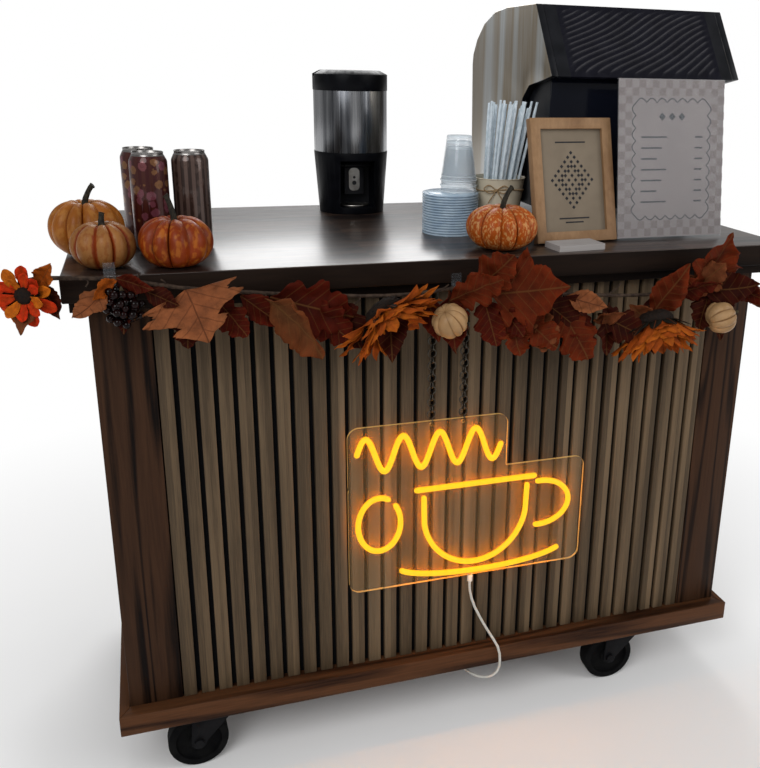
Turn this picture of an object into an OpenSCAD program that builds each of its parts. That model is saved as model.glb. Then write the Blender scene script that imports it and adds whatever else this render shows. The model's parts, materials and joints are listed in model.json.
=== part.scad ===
// Coffee cart: a slatted counter on casters with a hung light sign, a leaf garland and its serving gear.
// The origin is on the floor under the middle of the counter, the customer's side faces -Y, and +Z is up.

/* [Counter] */
// Width of the counter
top_w = 1220; // [1160:10:1500]
// Depth of the counter
top_d = 610; // [600:10:700]
// Thickness of the counter
top_t = 38; // [25:1:50]
// Reach of the counter past the front panel
front_over = 49; // [35:1:70]
// Thickness of the board under the counter
sub_t = 20; // [12:1:30]

/* [Body] */
// Width of the body
body_w = 1160; // [1100:10:1160]
// Depth of the body
body_d = 540; // [500:10:550]
// Height of the front panel, from the base to the board under the counter
panel_h = 706; // [600:1:800]
// Width of each upright at the front corners
stile_w = 87; // [60:1:120]
// Thickness of each upright at the front corners
stile_t = 19; // [15:1:25]
// Width of one slat
slat_w = 22; // [14:1:26]
// Distance from one slat to the next
slat_pitch = 30; // [28:1:40]
// Thickness of one slat
slat_t = 12; // [8:1:14]
// Thickness of the black board behind the slats
backing_t = 9; // [5:1:12]
// Thickness of the side panels and the shelf
board_t = 18; // [12:1:24]
// Side of a square post or rail
post_t = 40; // [30:1:50]
// Height of the shelf's underside above the base
shelf_h = 320; // [250:1:400]

/* [Base] */
// Thickness of the base
deck_t = 38; // [30:1:50]
// Reach of the base moulding at the front and back
trim_front = 26; // [15:1:40]
// Reach of the base moulding at the sides
trim_side = 18; // [12:1:30]

/* [Casters] */
// Overall height of a caster
caster_h = 128; // [124:1:140]
// Diameter of a wheel
wheel_d = 106; // [90:1:107]
// Width of a wheel's tread
wheel_w = 32; // [26:1:34]
// Distance from the swivel to the axle
caster_trail = 40; // [32:1:45]
// Distance of the swivels from the sides of the body
caster_in_x = 165; // [120:1:200]
// Distance of the swivels from the front and the back of the body
caster_in_y = 34; // [34:1:60]
// Diameter of an axle
axle_d = 10; // [8:1:12]

/* [Sign] */
// Width of the light sign
sign_w = 448; // [400:1:480]
// Height of the light sign
sign_h = 316; // [280:1:330]
// Diameter of the light tubes
tube_d = 10; // [8:1:12]
// Thickness of the clear board behind the tubes
sheet_t = 5; // [3:1:6]

/* [Espresso machine] */
// Width of the machine
machine_w = 386; // [360:1:400]
// Depth of the machine
machine_d = 413; // [400:1:420]
// Height of the machine above the counter
machine_h = 403; // [390:1:430]

/* [Brewer] */
// Diameter of the brewer
brewer_d = 150; // [140:1:170]
// Height of the brewer's base
brewer_base_h = 123; // [115:1:140]
// Height of the brewer's steel tank
brewer_tank_h = 119; // [100:1:140]
// Height of the brewer's lid
brewer_lid_h = 38; // [30:1:50]

/* [Serving gear] */
// Diameter of a drink can
can_d = 58; // [53:1:70]
// Height of a drink can
can_h = 156; // [115:1:170]
// Width of the menu sheet
menu_w = 216; // [210:1:220]
// Height of the menu sheet
menu_h = 280; // [270:1:300]
// Width of the payment frame
frame_w = 160; // [150:1:180]
// Height of the payment frame
frame_h = 215; // [210:1:240]
// Diameter of a lid in the stack
lid_d = 103; // [90:1:105]
// Diameter of the straw pail's rim
pail_d = 99; // [95:1:100]

/* [Hidden] */
$fn = 48;

// Overrun of every cut, running clearance of shafts, and gap between moving faces
cut = 1;
run_gap = 0.05;
gap = 0.3;

// Levels and faces of the cart
front_y = -top_d / 2 + front_over;
back_y = front_y + body_d;
floor_z = caster_h + deck_t;
sub_z = floor_z + panel_h;
top_z = sub_z + sub_t;
work_z = top_z + top_t;
half_w = body_w / 2;
in_y = front_y + stile_t;
panel_w = body_w - 2 * stile_w;
slat_count = floor((panel_w - slat_w) / slat_pitch) + 1;
slat_row_w = (slat_count - 1) * slat_pitch + slat_w;
rail_y = front_y + slat_t + backing_t;
shelf_z = floor_z + shelf_h;

// Insets of the board under the counter, and the shelf's set-back and cleats
sub_in_x = 7;
sub_in_front = 26;
sub_in_back = 12;
shelf_back = 20;
cleat_w = 20;
cleat_h = 30;

// A box given by its low corner and its size
module box(at, size) { translate(at) cube(size); }

// Copies of a shape on the left and on the right
module both_sides() {
  children();
  mirror([1, 0, 0]) children();
}

module countertop() color([0.11, 0.08, 0.07])
  box([-top_w / 2, -top_d / 2, top_z], [top_w, top_d, top_t]);

module sub_top() color([0.13, 0.09, 0.07])
  box([-top_w / 2 + sub_in_x, -top_d / 2 + sub_in_front, sub_z],
    [top_w - 2 * sub_in_x, top_d - sub_in_front - sub_in_back, sub_t]);

module front_stiles() color([0.22, 0.15, 0.11])
  both_sides() box([half_w - stile_w, front_y, floor_z], [stile_w, stile_t, panel_h]);

module slat_backing() color([0.04, 0.04, 0.04])
  box([-panel_w / 2, front_y + slat_t, floor_z], [panel_w, backing_t, panel_h]);

module slats() color([0.43, 0.36, 0.27])
  for (i = [0 : slat_count - 1])
    box([-slat_row_w / 2 + i * slat_pitch, front_y, floor_z], [slat_w, slat_t, panel_h]);

module base_deck() color([0.28, 0.17, 0.12])
  difference() {
    box([-half_w, front_y, caster_h], [body_w, body_d, deck_t]);
    at_casters() at_bolts() translate([0, 0, caster_h - cut])
      cylinder(d = bolt_d + 2 * run_gap, h = bolt_grip + cut + gap);
    translate([grommet_x, grommet_y, caster_h - cut])
      cylinder(d = grommet_d + 2 * run_gap, h = deck_t + 2 * cut);
  }

// One mitred board, along X, with its back edge on y = 0 and its mitres past both ends
module mitred_board(len, reach, end_reach)
  linear_extrude(deck_t)
    polygon([[-len / 2, 0], [len / 2, 0], [len / 2 + end_reach, -reach], [-len / 2 - end_reach, -reach]]);

module base_moulding() color([0.36, 0.21, 0.14]) {
  translate([0, front_y, caster_h]) mitred_board(body_w - gap, trim_front, trim_side);
  translate([0, back_y, caster_h]) rotate(180) mitred_board(body_w - gap, trim_front, trim_side);
  both_sides() translate([half_w, (front_y + back_y) / 2, caster_h])
    rotate(90) mitred_board(body_d - gap, trim_side, trim_front);
}

module side_panels() color([0.24, 0.16, 0.11])
  both_sides() box([half_w - board_t, in_y, floor_z], [board_t, back_y - in_y, panel_h]);

// Places of the four corner posts: side, and low y
post_x = half_w - board_t - post_t;
post_front_y = in_y;
post_back_y = back_y - post_t;
rail_l = 2 * (post_x - gap);

module frame_timbers() color([0.62, 0.48, 0.32]) {
  both_sides() for (y = [post_front_y, post_back_y]) box([post_x, y, floor_z], [post_t, post_t, panel_h]);
  for (z = [floor_z, sub_z - post_t]) box([-rail_l / 2, rail_y, z], [rail_l, post_t, post_t]);
  box([-rail_l / 2, post_back_y, sub_z - post_t], [rail_l, post_t, post_t]);
  both_sides() box([half_w - board_t - cleat_w, post_front_y + post_t + gap, shelf_z - cleat_h],
    [cleat_w, post_back_y - post_front_y - post_t - 2 * gap, cleat_h]);
}

module shelf() color([0.55, 0.42, 0.28])
  difference() {
    box([-half_w + board_t, rail_y, shelf_z], [body_w - 2 * board_t, back_y - shelf_back - rail_y, board_t]);
    both_sides() for (y = [post_front_y, post_back_y])
      box([post_x - gap, y - gap, shelf_z - cut], [post_t + cut, post_t + 2 * gap, board_t + 2 * cut]);
  }

// Caster: plate, bolts, fork, kingpin, wheel and pedal
plate_l = 105;
plate_w = 70;
plate_t = 4;
bolt_d = 8;
bolt_grip = 30;
bolt_head_d = 13;
bolt_head_h = 5;
bolt_space_x = 82;
bolt_space_y = 46;
race_d = 40;
race_h = 8;
king_d = 12;
crown_d = 58;
crown_t = 4;
crown_clear = 3;
leg_t = 3;
leg_clear = 2;
axle_boss_r = 13;
axle_head_d = 17;
axle_head_h = 5;
crown_z = wheel_d + crown_clear;
race_z = caster_h - plate_t - race_h;
leg_y = wheel_w / 2 + leg_clear;
leg_top_in = 22;
leg_top_out = 30;
leg_slope_share = 0.75;
hub_r = 17;
web_in = 8;
tread_r = 5;
rim_r = 40;
pedal_x = 30;
pedal_rise = 2;
pedal_z = wheel_d + pedal_rise;
pedal_l = 44;
pedal_w = 30;
pedal_t = 5;
pedal_boss_r = 6;
pedal_pin_d = 6;
ear_r = 8;

// Swivel places and the way that each wheel trails at rest, in the order fl, fr, rl, rr
caster_x = half_w - caster_in_x;
caster_off_x = -18;
caster_front_y = front_y + caster_in_y;
caster_back_y = back_y - caster_in_y;
caster_places = [for (y = [caster_front_y, caster_back_y], s = [-1, 1]) [caster_off_x + s * caster_x, y]];
caster_turns = [182, 178, 195, 170];

module at_casters() for (p = caster_places) translate(p) children();

module at_bolts()
  for (x = [-1, 1], y = [-1, 1]) translate([x * bolt_space_x / 2, y * bolt_space_y / 2, 0]) children();

module at_caster(i) translate(caster_places[i]) rotate(caster_turns[i]) children();

module caster_plates() color([0.10, 0.10, 0.11])
  at_casters() difference() {
    union() {
      box([-plate_l / 2, -plate_w / 2, caster_h - plate_t], [plate_l, plate_w, plate_t]);
      translate([0, 0, race_z]) cylinder(d = race_d, h = race_h);
    }
    translate([0, 0, race_z - cut]) cylinder(d = king_d + 2 * run_gap, h = race_h + plate_t + 2 * cut);
    at_bolts() translate([0, 0, caster_h - plate_t - cut])
      cylinder(d = bolt_d + 2 * run_gap, h = plate_t + 2 * cut);
  }

module caster_bolts() color([0.45, 0.45, 0.46])
  at_casters() at_bolts() {
    translate([0, 0, caster_h - plate_t]) cylinder(d = bolt_d, h = plate_t + bolt_grip);
    translate([0, 0, caster_h - plate_t - bolt_head_h]) cylinder(d = bolt_head_d, h = bolt_head_h, $fn = 6);
  }

// A round bar along Y about the point (x, z)
module cross_bar(x, z, d, len) translate([x, 0, z]) rotate([90, 0, 0])
  cylinder(d = d, h = len, center = true);

// One leg of a fork, drawn in its own plane with z up
module fork_leg(braked) {
  polygon([[-leg_top_in, crown_z + crown_t], [-leg_top_in, crown_z - crown_t],
    [caster_trail - axle_boss_r, wheel_d / 2], [caster_trail + axle_boss_r, wheel_d / 2],
    [caster_trail + axle_boss_r * leg_slope_share, crown_z - crown_t], [leg_top_out, crown_z + crown_t]]);
  translate([caster_trail, wheel_d / 2]) circle(r = axle_boss_r);
  if (braked) {
    polygon([[0, crown_z + crown_t], [0, pedal_z - ear_r], [caster_trail + pedal_x, pedal_z - ear_r],
      [caster_trail + pedal_x, pedal_z + ear_r - crown_t], [leg_top_out, crown_z + crown_t]]);
    translate([caster_trail + pedal_x, pedal_z]) circle(r = ear_r);
  }
}

module fork(braked) {
  fork_w = 2 * (leg_y + leg_t);
  difference() {
    union() {
      translate([0, 0, crown_z]) cylinder(d = crown_d, h = crown_t);
      translate([0, 0, crown_z + crown_t]) cylinder(d = race_d, h = race_z - gap - crown_z - crown_t);
      translate([0, 0, crown_z + crown_t]) cylinder(d = king_d, h = caster_h - gap - crown_z - crown_t);
      for (s = [-1, 1]) translate([0, s * (leg_y + leg_t / 2) + leg_t / 2, 0])
        rotate([90, 0, 0]) linear_extrude(leg_t) fork_leg(braked);
    }
    cross_bar(caster_trail, wheel_d / 2, axle_d + 2 * run_gap, fork_w + 2 * cut);
    if (braked) cross_bar(caster_trail + pedal_x, pedal_z, pedal_pin_d + 2 * run_gap, fork_w + 2 * cut);
  }
  cross_bar(caster_trail, wheel_d / 2, axle_d, fork_w + 2 * gap);
  for (s = [-1, 1]) translate([0, s * (leg_y + leg_t + gap + axle_head_h / 2), 0])
    cross_bar(caster_trail, wheel_d / 2, axle_head_d, axle_head_h);
  if (braked) cross_bar(caster_trail + pedal_x, pedal_z, pedal_pin_d, fork_w);
}

// Half outline of a wheel: rounded tread, thin web and thick hub
module wheel_outline() difference() {
  union() {
    translate([0, -wheel_w / 2]) square([wheel_d / 2 - tread_r, wheel_w]);
    translate([0, -wheel_w / 2 + tread_r]) square([wheel_d / 2, wheel_w - 2 * tread_r]);
    for (s = [-1, 1]) translate([wheel_d / 2 - tread_r, s * (wheel_w / 2 - tread_r)]) circle(r = tread_r);
  }
  for (s = [0, 1]) mirror([0, s])
    translate([hub_r, wheel_w / 2 - web_in]) square([rim_r - hub_r, web_in + cut]);
  translate([-cut, -wheel_w / 2 - cut]) square([axle_d / 2 + run_gap + cut, wheel_w + 2 * cut]);
}

module wheel()
  translate([caster_trail, 0, wheel_d / 2]) rotate([90, 0, 0]) rotate_extrude() wheel_outline();

module pedal() difference() {
  union() {
    cross_bar(caster_trail + pedal_x, pedal_z, 2 * pedal_boss_r, pedal_w);
    box([caster_trail + pedal_x, -pedal_w / 2, pedal_z + pedal_boss_r - pedal_t],
      [pedal_l, pedal_w, pedal_t]);
  }
  cross_bar(caster_trail + pedal_x, pedal_z, pedal_pin_d + 2 * run_gap, pedal_w + 2 * cut);
}

module caster_fork_fl() color([0.09, 0.09, 0.10]) at_caster(0) fork(false);
module caster_fork_fr() color([0.09, 0.09, 0.10]) at_caster(1) fork(false);
module caster_fork_rl() color([0.09, 0.09, 0.10]) at_caster(2) fork(true);
module caster_fork_rr() color([0.09, 0.09, 0.10]) at_caster(3) fork(true);
module caster_wheel_fl() color([0.05, 0.05, 0.05]) at_caster(0) wheel();
module caster_wheel_fr() color([0.05, 0.05, 0.05]) at_caster(1) wheel();
module caster_wheel_rl() color([0.05, 0.05, 0.05]) at_caster(2) wheel();
module caster_wheel_rr() color([0.05, 0.05, 0.05]) at_caster(3) wheel();
module brake_pedal_rl() color([0.12, 0.12, 0.12]) at_caster(2) pedal();
module brake_pedal_rr() color([0.12, 0.12, 0.12]) at_caster(3) pedal();

// Light sign: place of its lower left corner, its chains and its hooks
sign_x = -198;
sign_lift = 158;
sign_z = floor_z + sign_lift;
sign_gap = 6;
sheet_y = front_y - sign_gap - sheet_t;
hang_y = sheet_y + sheet_t / 2;
ring_r = 7;
ring_wire_r = 1.1;
ring_pitch = 2 * ring_r - 2 * ring_wire_r - gap;
hook_r = 8;
hook_wire_r = 1.5;
chain_hole_d = 5;
chain_hole_in = 7;
chain_shares = [0.33, 0.46];
sheet_top = sign_z + sign_h;
chain_z = sheet_top - chain_hole_in + ring_r;
hook_drop = 12;
hook_z = sub_z - hook_r - hook_drop;
ring_count = 2 * ceil((hook_z - hook_r - chain_z) / ring_pitch / 2) + 1;
ring_rise = (hook_z - hook_r - ring_r + ring_wire_r + hook_wire_r + gap - chain_z) / (ring_count - 1);

// A point of the sign, from shares of its width and height
function sign_point(p) = [p[0] * sign_w, p[1] * sign_h];

// Points of an arc about a share point, with its radii as shares of the sign's width
function sign_arc(c, r, a, b, n) = [for (i = [0 : n]) let (t = a + (b - a) * i / n)
  sign_point(c) + sign_w * [r[0] * cos(t), r[1] * sin(t)]];

// A ribbon of even width along a path
function path_way(p, i) = let (a = p[max(i - 1, 0)], b = p[min(i + 1, len(p) - 1)], d = b - a) d / norm(d);
function ribbon(p, w) = concat(
  [for (i = [0 : len(p) - 1]) p[i] + w / 2 * [-path_way(p, i)[1], path_way(p, i)[0]]],
  [for (i = [len(p) - 1 : -1 : 0]) p[i] - w / 2 * [-path_way(p, i)[1], path_way(p, i)[0]]]);

// The sign's strokes: a wavy steam band over a cup, its handle, its coffee line and a saucer
wave_n = 64;
wave_turns = 4;
wave_left_share = 0.03;
wave_right_share = 0.62;
wave_mid_share = 0.84;
wave_high_share = 0.10;
steam_wave = [for (i = [0 : wave_n]) let (t = i / wave_n)
  sign_point([wave_left_share + (wave_right_share - wave_left_share) * t,
    wave_mid_share + wave_high_share * sin(360 * wave_turns * t)])];
rim_shares = [[0.26, 0.60], [0.52, 0.60], [0.78, 0.60]];
bowl_end_shares = [[0.30, 0.56], [0.74, 0.56]];
bowl_mid_shares = [0.52, 0.44];
bowl_r_shares = [0.22, 0.24];
handle_mid_shares = [0.80, 0.42];
handle_r_shares = [0.13, 0.10];
saucer_mid_shares = [0.55, 0.14];
saucer_r_shares = [0.36, 0.07];
bean_mid_shares = [0.12, 0.42];
bean_r_shares = [0.085, 0.115];
cup_bowl = concat([sign_point(bowl_end_shares[0])], sign_arc(bowl_mid_shares, bowl_r_shares, 190, 350, 20),
  [sign_point(bowl_end_shares[1])]);
cup_rim = [for (p = rim_shares) sign_point(p)];
cup_handle = sign_arc(handle_mid_shares, handle_r_shares, 100, -100, 16);
saucer = sign_arc(saucer_mid_shares, saucer_r_shares, 195, 345, 20);
bean_ring = sign_arc(bean_mid_shares, bean_r_shares, 60, 405, 24);
sign_paths = [steam_wave, cup_rim, cup_bowl, cup_handle, saucer, bean_ring];

// Places a flat drawing on the sign's plane, from y toward the customer
module on_sign(y, t) translate([sign_x, y, sign_z]) rotate([90, 0, 0]) linear_extrude(t) children();

sheet_band_share = 0.60;
sheet_low_share = 0.16;
sheet_round = 20;

module rounded_sheet(at, size) {
  translate(at + [sheet_round, 0]) square(size - [2 * sheet_round, 0]);
  translate(at + [0, sheet_round]) square(size - [0, 2 * sheet_round]);
  for (x = [sheet_round, size[0] - sheet_round], y = [sheet_round, size[1] - sheet_round])
    translate(at + [x, y]) circle(r = sheet_round);
}

gland_d = 10;
gland_h = 14;
gland_share = 0.509;
cord_d = 5;

module sign_backing() color([0.95, 0.85, 0.55, 0.35]) {
  on_sign(sheet_y + sheet_t, sheet_t) difference() {
    union() {
      rounded_sheet([0, sheet_band_share * sign_h], [(wave_right_share + wave_left_share) * sign_w,
        (1 - sheet_band_share) * sign_h]);
      rounded_sheet([0, 0], [sign_w, (sheet_band_share + sheet_low_share / 2) * sign_h]);
    }
    for (s = chain_shares) translate([s * sign_w, sign_h - chain_hole_in]) circle(d = chain_hole_d);
  }
  translate([sign_x + gland_share * sign_w, hang_y, sign_z - gland_h]) cylinder(d = gland_d, h = gland_h);
}

module sign_tubes() color([1.0, 0.72, 0.12])
  on_sign(sheet_y, tube_d) for (p = sign_paths) polygon(ribbon(p, tube_d));

// A ring of round wire about an axis along Z
module wire_ring(r, wire_r, angle = 360)
  rotate_extrude(angle = angle) translate([r, 0]) circle(r = wire_r, $fn = 16);

module sign_chains() color([0.25, 0.22, 0.18])
  for (s = chain_shares, i = [0 : ring_count - 1])
    translate([sign_x + s * sign_w, hang_y, chain_z + i * ring_rise])
      rotate(i % 2 == 0 ? [0, 90, 0] : [90, 0, 0]) wire_ring(ring_r, ring_wire_r);

module sign_hooks() color([0.35, 0.33, 0.30])
  for (s = chain_shares) translate([sign_x + s * sign_w, hang_y, hook_z]) {
    rotate([90, 0, 0]) rotate(180) wire_ring(hook_r, hook_wire_r, 180);
    translate([hook_r, 0, 0]) cylinder(r = hook_wire_r, h = sub_z - hook_z);
  }

// The sign's lead, from the sign over the base and up into the grommet under the base
grommet_x = 26;
grommet_in = 80;
grommet_y = front_y + grommet_in;
grommet_d = 30;
grommet_flange_d = 40;
grommet_flange_t = 4;
cord_route = [[30, -264, 310], [30, -264, 300], [31, -264, 288], [35, -264, 270], [42, -264, 250],
  [51, -265, 230], [60, -266, 212], [69, -271, 195], [77, -278, 181], [83, -286, 169],
  [86, -290, 155], [87, -291, 140], [86, -291, 126], [82, -290, 115], [75, -288, 107],
  [66, -284, 102], [56, -277, 99], [47, -268, 98], [39, -256, 98], [33, -242, 99], [29, -227, 101],
  [27, -212, 103], [26, -198, 104], [26, -188, 106], [26, -181, 110], [26, -177, 116],
  [26, -176, 124]];
cord_sides = 8;

function cord_way(p, i) = let (d = p[min(i + 1, len(p) - 1)] - p[max(i - 1, 0)]) d / norm(d);
function cord_ring(p, i, r, n) =
  let (w = i == 0 || i == len(p) - 1 ? [0, 0, i == 0 ? -1 : sign(cord_way(p, i)[2])] : cord_way(p, i),
    side = abs(w[1]) > 0.9 ? [1, 0, 0] : [0, 1, 0],
      u = cross(side, w) / norm(cross(side, w)), v = cross(w, u))
  [for (k = [0 : n - 1]) p[i] + r * (cos(360 * k / n) * u + sin(360 * k / n) * v)];

// A closed tube along a list of points
module tube(rings) {
  n = len(rings[0]);
  m = len(rings);
  polyhedron([for (ring = rings) each ring],
    concat([[for (k = [0 : n - 1]) k]], [[for (k = [n - 1 : -1 : 0]) (m - 1) * n + k]],
      [for (i = [0 : m - 2], k = [0 : n - 1]) each
        let (a = i * n + k, b = i * n + (k + 1) % n) [[a, a + n, b], [b, a + n, b + n]]]), convexity = 10);
}

module sign_cord() color([0.86, 0.85, 0.82])
  tube([for (i = [0 : len(cord_route) - 1]) cord_ring(cord_route, i, cord_d / 2, cord_sides)]);

module cord_grommet() color([0.08, 0.08, 0.08]) translate([grommet_x, grommet_y, caster_h]) {
  cylinder(d = grommet_d, h = deck_t);
  translate([0, 0, -grommet_flange_t]) cylinder(d = grommet_flange_d, h = grommet_flange_t);
}

// Power strip on the base, over the grommet
strip_l = 260;
strip_w = 46;
strip_h = 38;
strip_back = 9;
socket_d = 34;
socket_depth = 12;
socket_count = 4;
socket_pitch = 56;

module power_strip() color([0.85, 0.85, 0.83])
  difference() {
    box([grommet_x - strip_l / 2, grommet_y - strip_w / 2 + strip_back, floor_z],
      [strip_l, strip_w, strip_h]);
    for (i = [0 : socket_count - 1])
      translate([grommet_x + (i - (socket_count - 1) / 2) * socket_pitch, grommet_y + strip_back,
        floor_z + strip_h - socket_depth]) cylinder(d = socket_d, h = socket_depth + cut);
  }

// Garland: hooks, vine, leaves, flowers and fruits, in layers in front of the counter's edge
edge_y = -top_d / 2;
vine_r = 4;
vine_off = 13;
vine_y = edge_y - vine_off;
vine_sides = 8;
vine_drop_shares = [[-0.535, 0.02], [-0.520, 0.10], [-0.480, 0.05], [-0.445, -0.05], [-0.40, -0.30],
  [-0.36, -0.55], [-0.30, -0.80], [-0.24, -1.00], [-0.19, -1.15], [-0.12, -1.30], [-0.06, -1.25],
  [-0.02, -1.15], [0.03, -1.35], [0.10, -1.60], [0.17, -1.80], [0.23, -1.95], [0.28, -1.95],
  [0.33, -1.80], [0.36, -1.55], [0.40, -1.65], [0.43, -1.95]];
vine_path = [for (s = vine_drop_shares) [s[0] * top_w, vine_y, work_z + s[1] * top_t]];
clip_w = 16;
clip_h = 30;
clip_t = 3;
clip_shares = [-0.445, -0.02, 0.36];
leaf_t = 2;
petal_t = 6;

function vine_way(i) = let (d = vine_path[min(i + 1, len(vine_path) - 1)] - vine_path[max(i - 1, 0)])
  d / norm(d);

module garland_vine() color([0.40, 0.27, 0.16])
  tube([for (i = [0 : len(vine_path) - 1]) [for (k = [vine_sides - 1 : -1 : 0])
    vine_path[i] + vine_r * (cos(360 * k / vine_sides) * [0, 1, 0]
      + sin(360 * k / vine_sides) * [-vine_way(i)[2], 0, vine_way(i)[0]])]]);

// Height of the vine's middle at a place along the counter
function vine_z(x) = lookup(x, [for (p = vine_path) [p[0], p[2]]]);

// Height of a hook's foot, under the lowest vine along its width
function clip_z(x) = min([for (s = [-1, 0, 1]) vine_z(x + s * clip_w / 2)]) - vine_r - 2 * gap - clip_t;

module garland_hooks() color([0.85, 0.90, 0.92, 0.4])
  for (s = clip_shares) translate([s * top_w - clip_w / 2, edge_y, clip_z(s * top_w)]) {
    box([0, -clip_t, 0], [clip_w, clip_t, clip_h]);
    box([0, -vine_off - vine_r, 0], [clip_w, vine_off + vine_r, clip_t]);
  }

// Half outlines of the leaf kinds as shares of the leaf's length, from stem to tip
broad_shares = [[0.00, 0.015], [0.05, 0.10], [0.11, 0.34], [0.17, 0.40], [0.25, 0.27], [0.36, 0.40],
  [0.47, 0.52], [0.54, 0.30], [0.64, 0.30], [0.73, 0.27], [0.80, 0.14], [1.00, 0.00]];
oak_shares = [[0.00, 0.012], [0.08, 0.05], [0.16, 0.18], [0.25, 0.25], [0.32, 0.24], [0.38, 0.17],
  [0.46, 0.28], [0.54, 0.33], [0.61, 0.31], [0.66, 0.20], [0.74, 0.24], [0.82, 0.22], [0.88, 0.12], [1.00, 0.00]];
plain_shares = [[0.00, 0.012], [0.08, 0.07], [0.22, 0.19], [0.40, 0.25], [0.58, 0.225], [0.78, 0.13],
  [0.92, 0.05], [1.00, 0.00]];
leaf_kinds = [broad_shares, oak_shares, plain_shares];

module leaf_outline(kind, size)
  polygon(concat([for (p = leaf_kinds[kind]) size * [p[1], p[0]]],
    [for (i = [len(leaf_kinds[kind]) - 2 : -1 : 0])
      size * [-leaf_kinds[kind][i][1], leaf_kinds[kind][i][0]]]));

// Leaves: place as a share of the counter's width, kind, length and turn, where 180 hangs straight down
leaf_s = 55;
leaf_m = 75;
leaf_l = 104;
leaf_xl = 132;
leaf_place_shares = [[-0.522, 2, leaf_s, -38], [-0.518, 2, leaf_s, -152], [-0.530, 2, leaf_m, 172],
  [-0.450, 2, leaf_m, 144], [-0.438, 2, leaf_s, 111], [-0.438, 2, leaf_s, -104], [-0.433, 2, leaf_m, 180],
  [-0.409, 2, leaf_s, -116], [-0.361, 1, leaf_m, 178], [-0.352, 0, leaf_l, -165], [-0.270, 2, leaf_xl, -136],
  [-0.265, 1, leaf_xl, -105], [-0.115, 2, leaf_l, 180], [-0.036, 2, leaf_l, 180], [-0.036, 1, leaf_l, -59],
  [-0.007, 1, leaf_l, -42], [0.021, 0, leaf_xl, -84], [0.031, 1, leaf_m, -142], [0.068, 1, leaf_l, -150],
  [0.124, 1, leaf_xl, -155], [0.131, 2, leaf_m, -109], [0.181, 1, leaf_l, -125], [0.268, 2, leaf_l, 180],
  [0.270, 2, leaf_l, -36], [0.343, 1, leaf_xl, -13], [0.344, 2, leaf_l, -85], [0.375, 2, leaf_l, 180],
  [0.418, 2, leaf_s, -146]];
leaf_y = vine_y - vine_r - gap;

module garland_leaves() color([0.62, 0.27, 0.10])
  translate([0, leaf_y, 0]) rotate([90, 0, 0]) linear_extrude(leaf_t)
    for (l = leaf_place_shares) translate([l[0] * top_w, vine_z(l[0] * top_w)]) rotate(l[3])
      leaf_outline(l[1], l[2]);

// Flowers: place, rise above the vine, radius and count of petals
flower_r = 60;
flower_s = 38;
flower_core_share = 0.34;
flower_in_share = 0.62;
flower_core_h = 12;
flower_y = leaf_y - leaf_t - gap;
flower_shares = [[-0.535, -0.10, flower_s, 12], [-0.120, -0.15, flower_r, 16], [0.268, -0.40, flower_r, 16]];

module flower(r, n) {
  linear_extrude(petal_t) polygon([for (i = [0 : 2 * n - 1]) (i % 2 == 0 ? r : r * flower_in_share)
    * [cos(180 * i / n), sin(180 * i / n)]]);
  translate([0, 0, petal_t]) cylinder(r = r * flower_core_share, h = flower_core_h - petal_t);
}

module garland_flowers() color([0.90, 0.48, 0.10])
  for (f = flower_shares) translate([f[0] * top_w, flower_y, vine_z(f[0] * top_w) + f[1] * 2 * flower_r])
    rotate([90, 0, 0]) flower(f[2], f[3]);

// A lobed fruit as a round solid: half width and height, flat at its foot
fruit_shares = [[0.00, 0.06], [0.45, 0.00], [0.72, 0.05], [0.92, 0.24], [1.00, 0.50], [0.93, 0.76],
  [0.74, 0.93], [0.46, 1.00], [0.18, 0.95], [0.00, 0.90]];
module fruit(w, h) rotate_extrude() polygon([for (p = fruit_shares) [p[0] * w / 2, p[1] * h]]);

gourd_w = 58;
gourd_h = 50;
gourd_shares = [[-0.036, 1.44], [0.375, 1.72]];
berry_r = 7;
berry_count = 12;
berry_share = -0.433;
berry_drop = 14;
berry_rows = 4;
berry_pitch = 2 * (berry_r - run_gap);

module garland_fruits() color([0.93, 0.90, 0.84]) {
  for (g = gourd_shares) translate([g[0] * top_w, flower_y - gourd_w / 2, vine_z(g[0] * top_w) - g[1] * gourd_h])
    fruit(gourd_w, gourd_h);
  for (i = [0 : berry_count - 1])
    translate([berry_share * top_w + (i % berry_rows - (berry_rows - 1) / 2) * berry_pitch, flower_y - berry_r,
      vine_z(berry_share * top_w) - berry_drop - floor(i / berry_rows) * berry_pitch]) sphere(r = berry_r);
}

// Pumpkins with stems: three from the front left corner, in shares of the largest, and one by itself
stem_d = 10;
stem_h = 26;
large_pumpkin_w = 112;
large_pumpkin_h = 86;
small_pumpkin_w = 92;
small_pumpkin_h = 68;
front_pumpkin_w = 109;
front_pumpkin_h = 75;
lone_pumpkin_w = 121;
lone_pumpkin_h = 75;
lone_pumpkin_x = 77;
lone_pumpkin_y = -240;
gear_x = -top_w / 2;
gear_y = -top_d / 2;
pumpkin_shares = [[0.304, 1.411], [0.536, 0.50], [1.4375, 0.402]];
pumpkins = [[gear_x + pumpkin_shares[0][0] * large_pumpkin_w, gear_y + pumpkin_shares[0][1] * large_pumpkin_w,
    large_pumpkin_w, large_pumpkin_h],
  [gear_x + pumpkin_shares[1][0] * large_pumpkin_w, gear_y + pumpkin_shares[1][1] * large_pumpkin_w,
    small_pumpkin_w, small_pumpkin_h],
  [gear_x + pumpkin_shares[2][0] * large_pumpkin_w, gear_y + pumpkin_shares[2][1] * large_pumpkin_w,
    front_pumpkin_w, front_pumpkin_h],
  [lone_pumpkin_x, lone_pumpkin_y, lone_pumpkin_w, lone_pumpkin_h]];

module counter_pumpkins() color([0.85, 0.45, 0.12])
  for (p = pumpkins) translate([p[0], p[1], work_z]) {
    fruit(p[2], p[3]);
    translate([0, 0, p[3] - stem_d]) cylinder(d = stem_d, h = stem_h + stem_d);
  }

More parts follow.
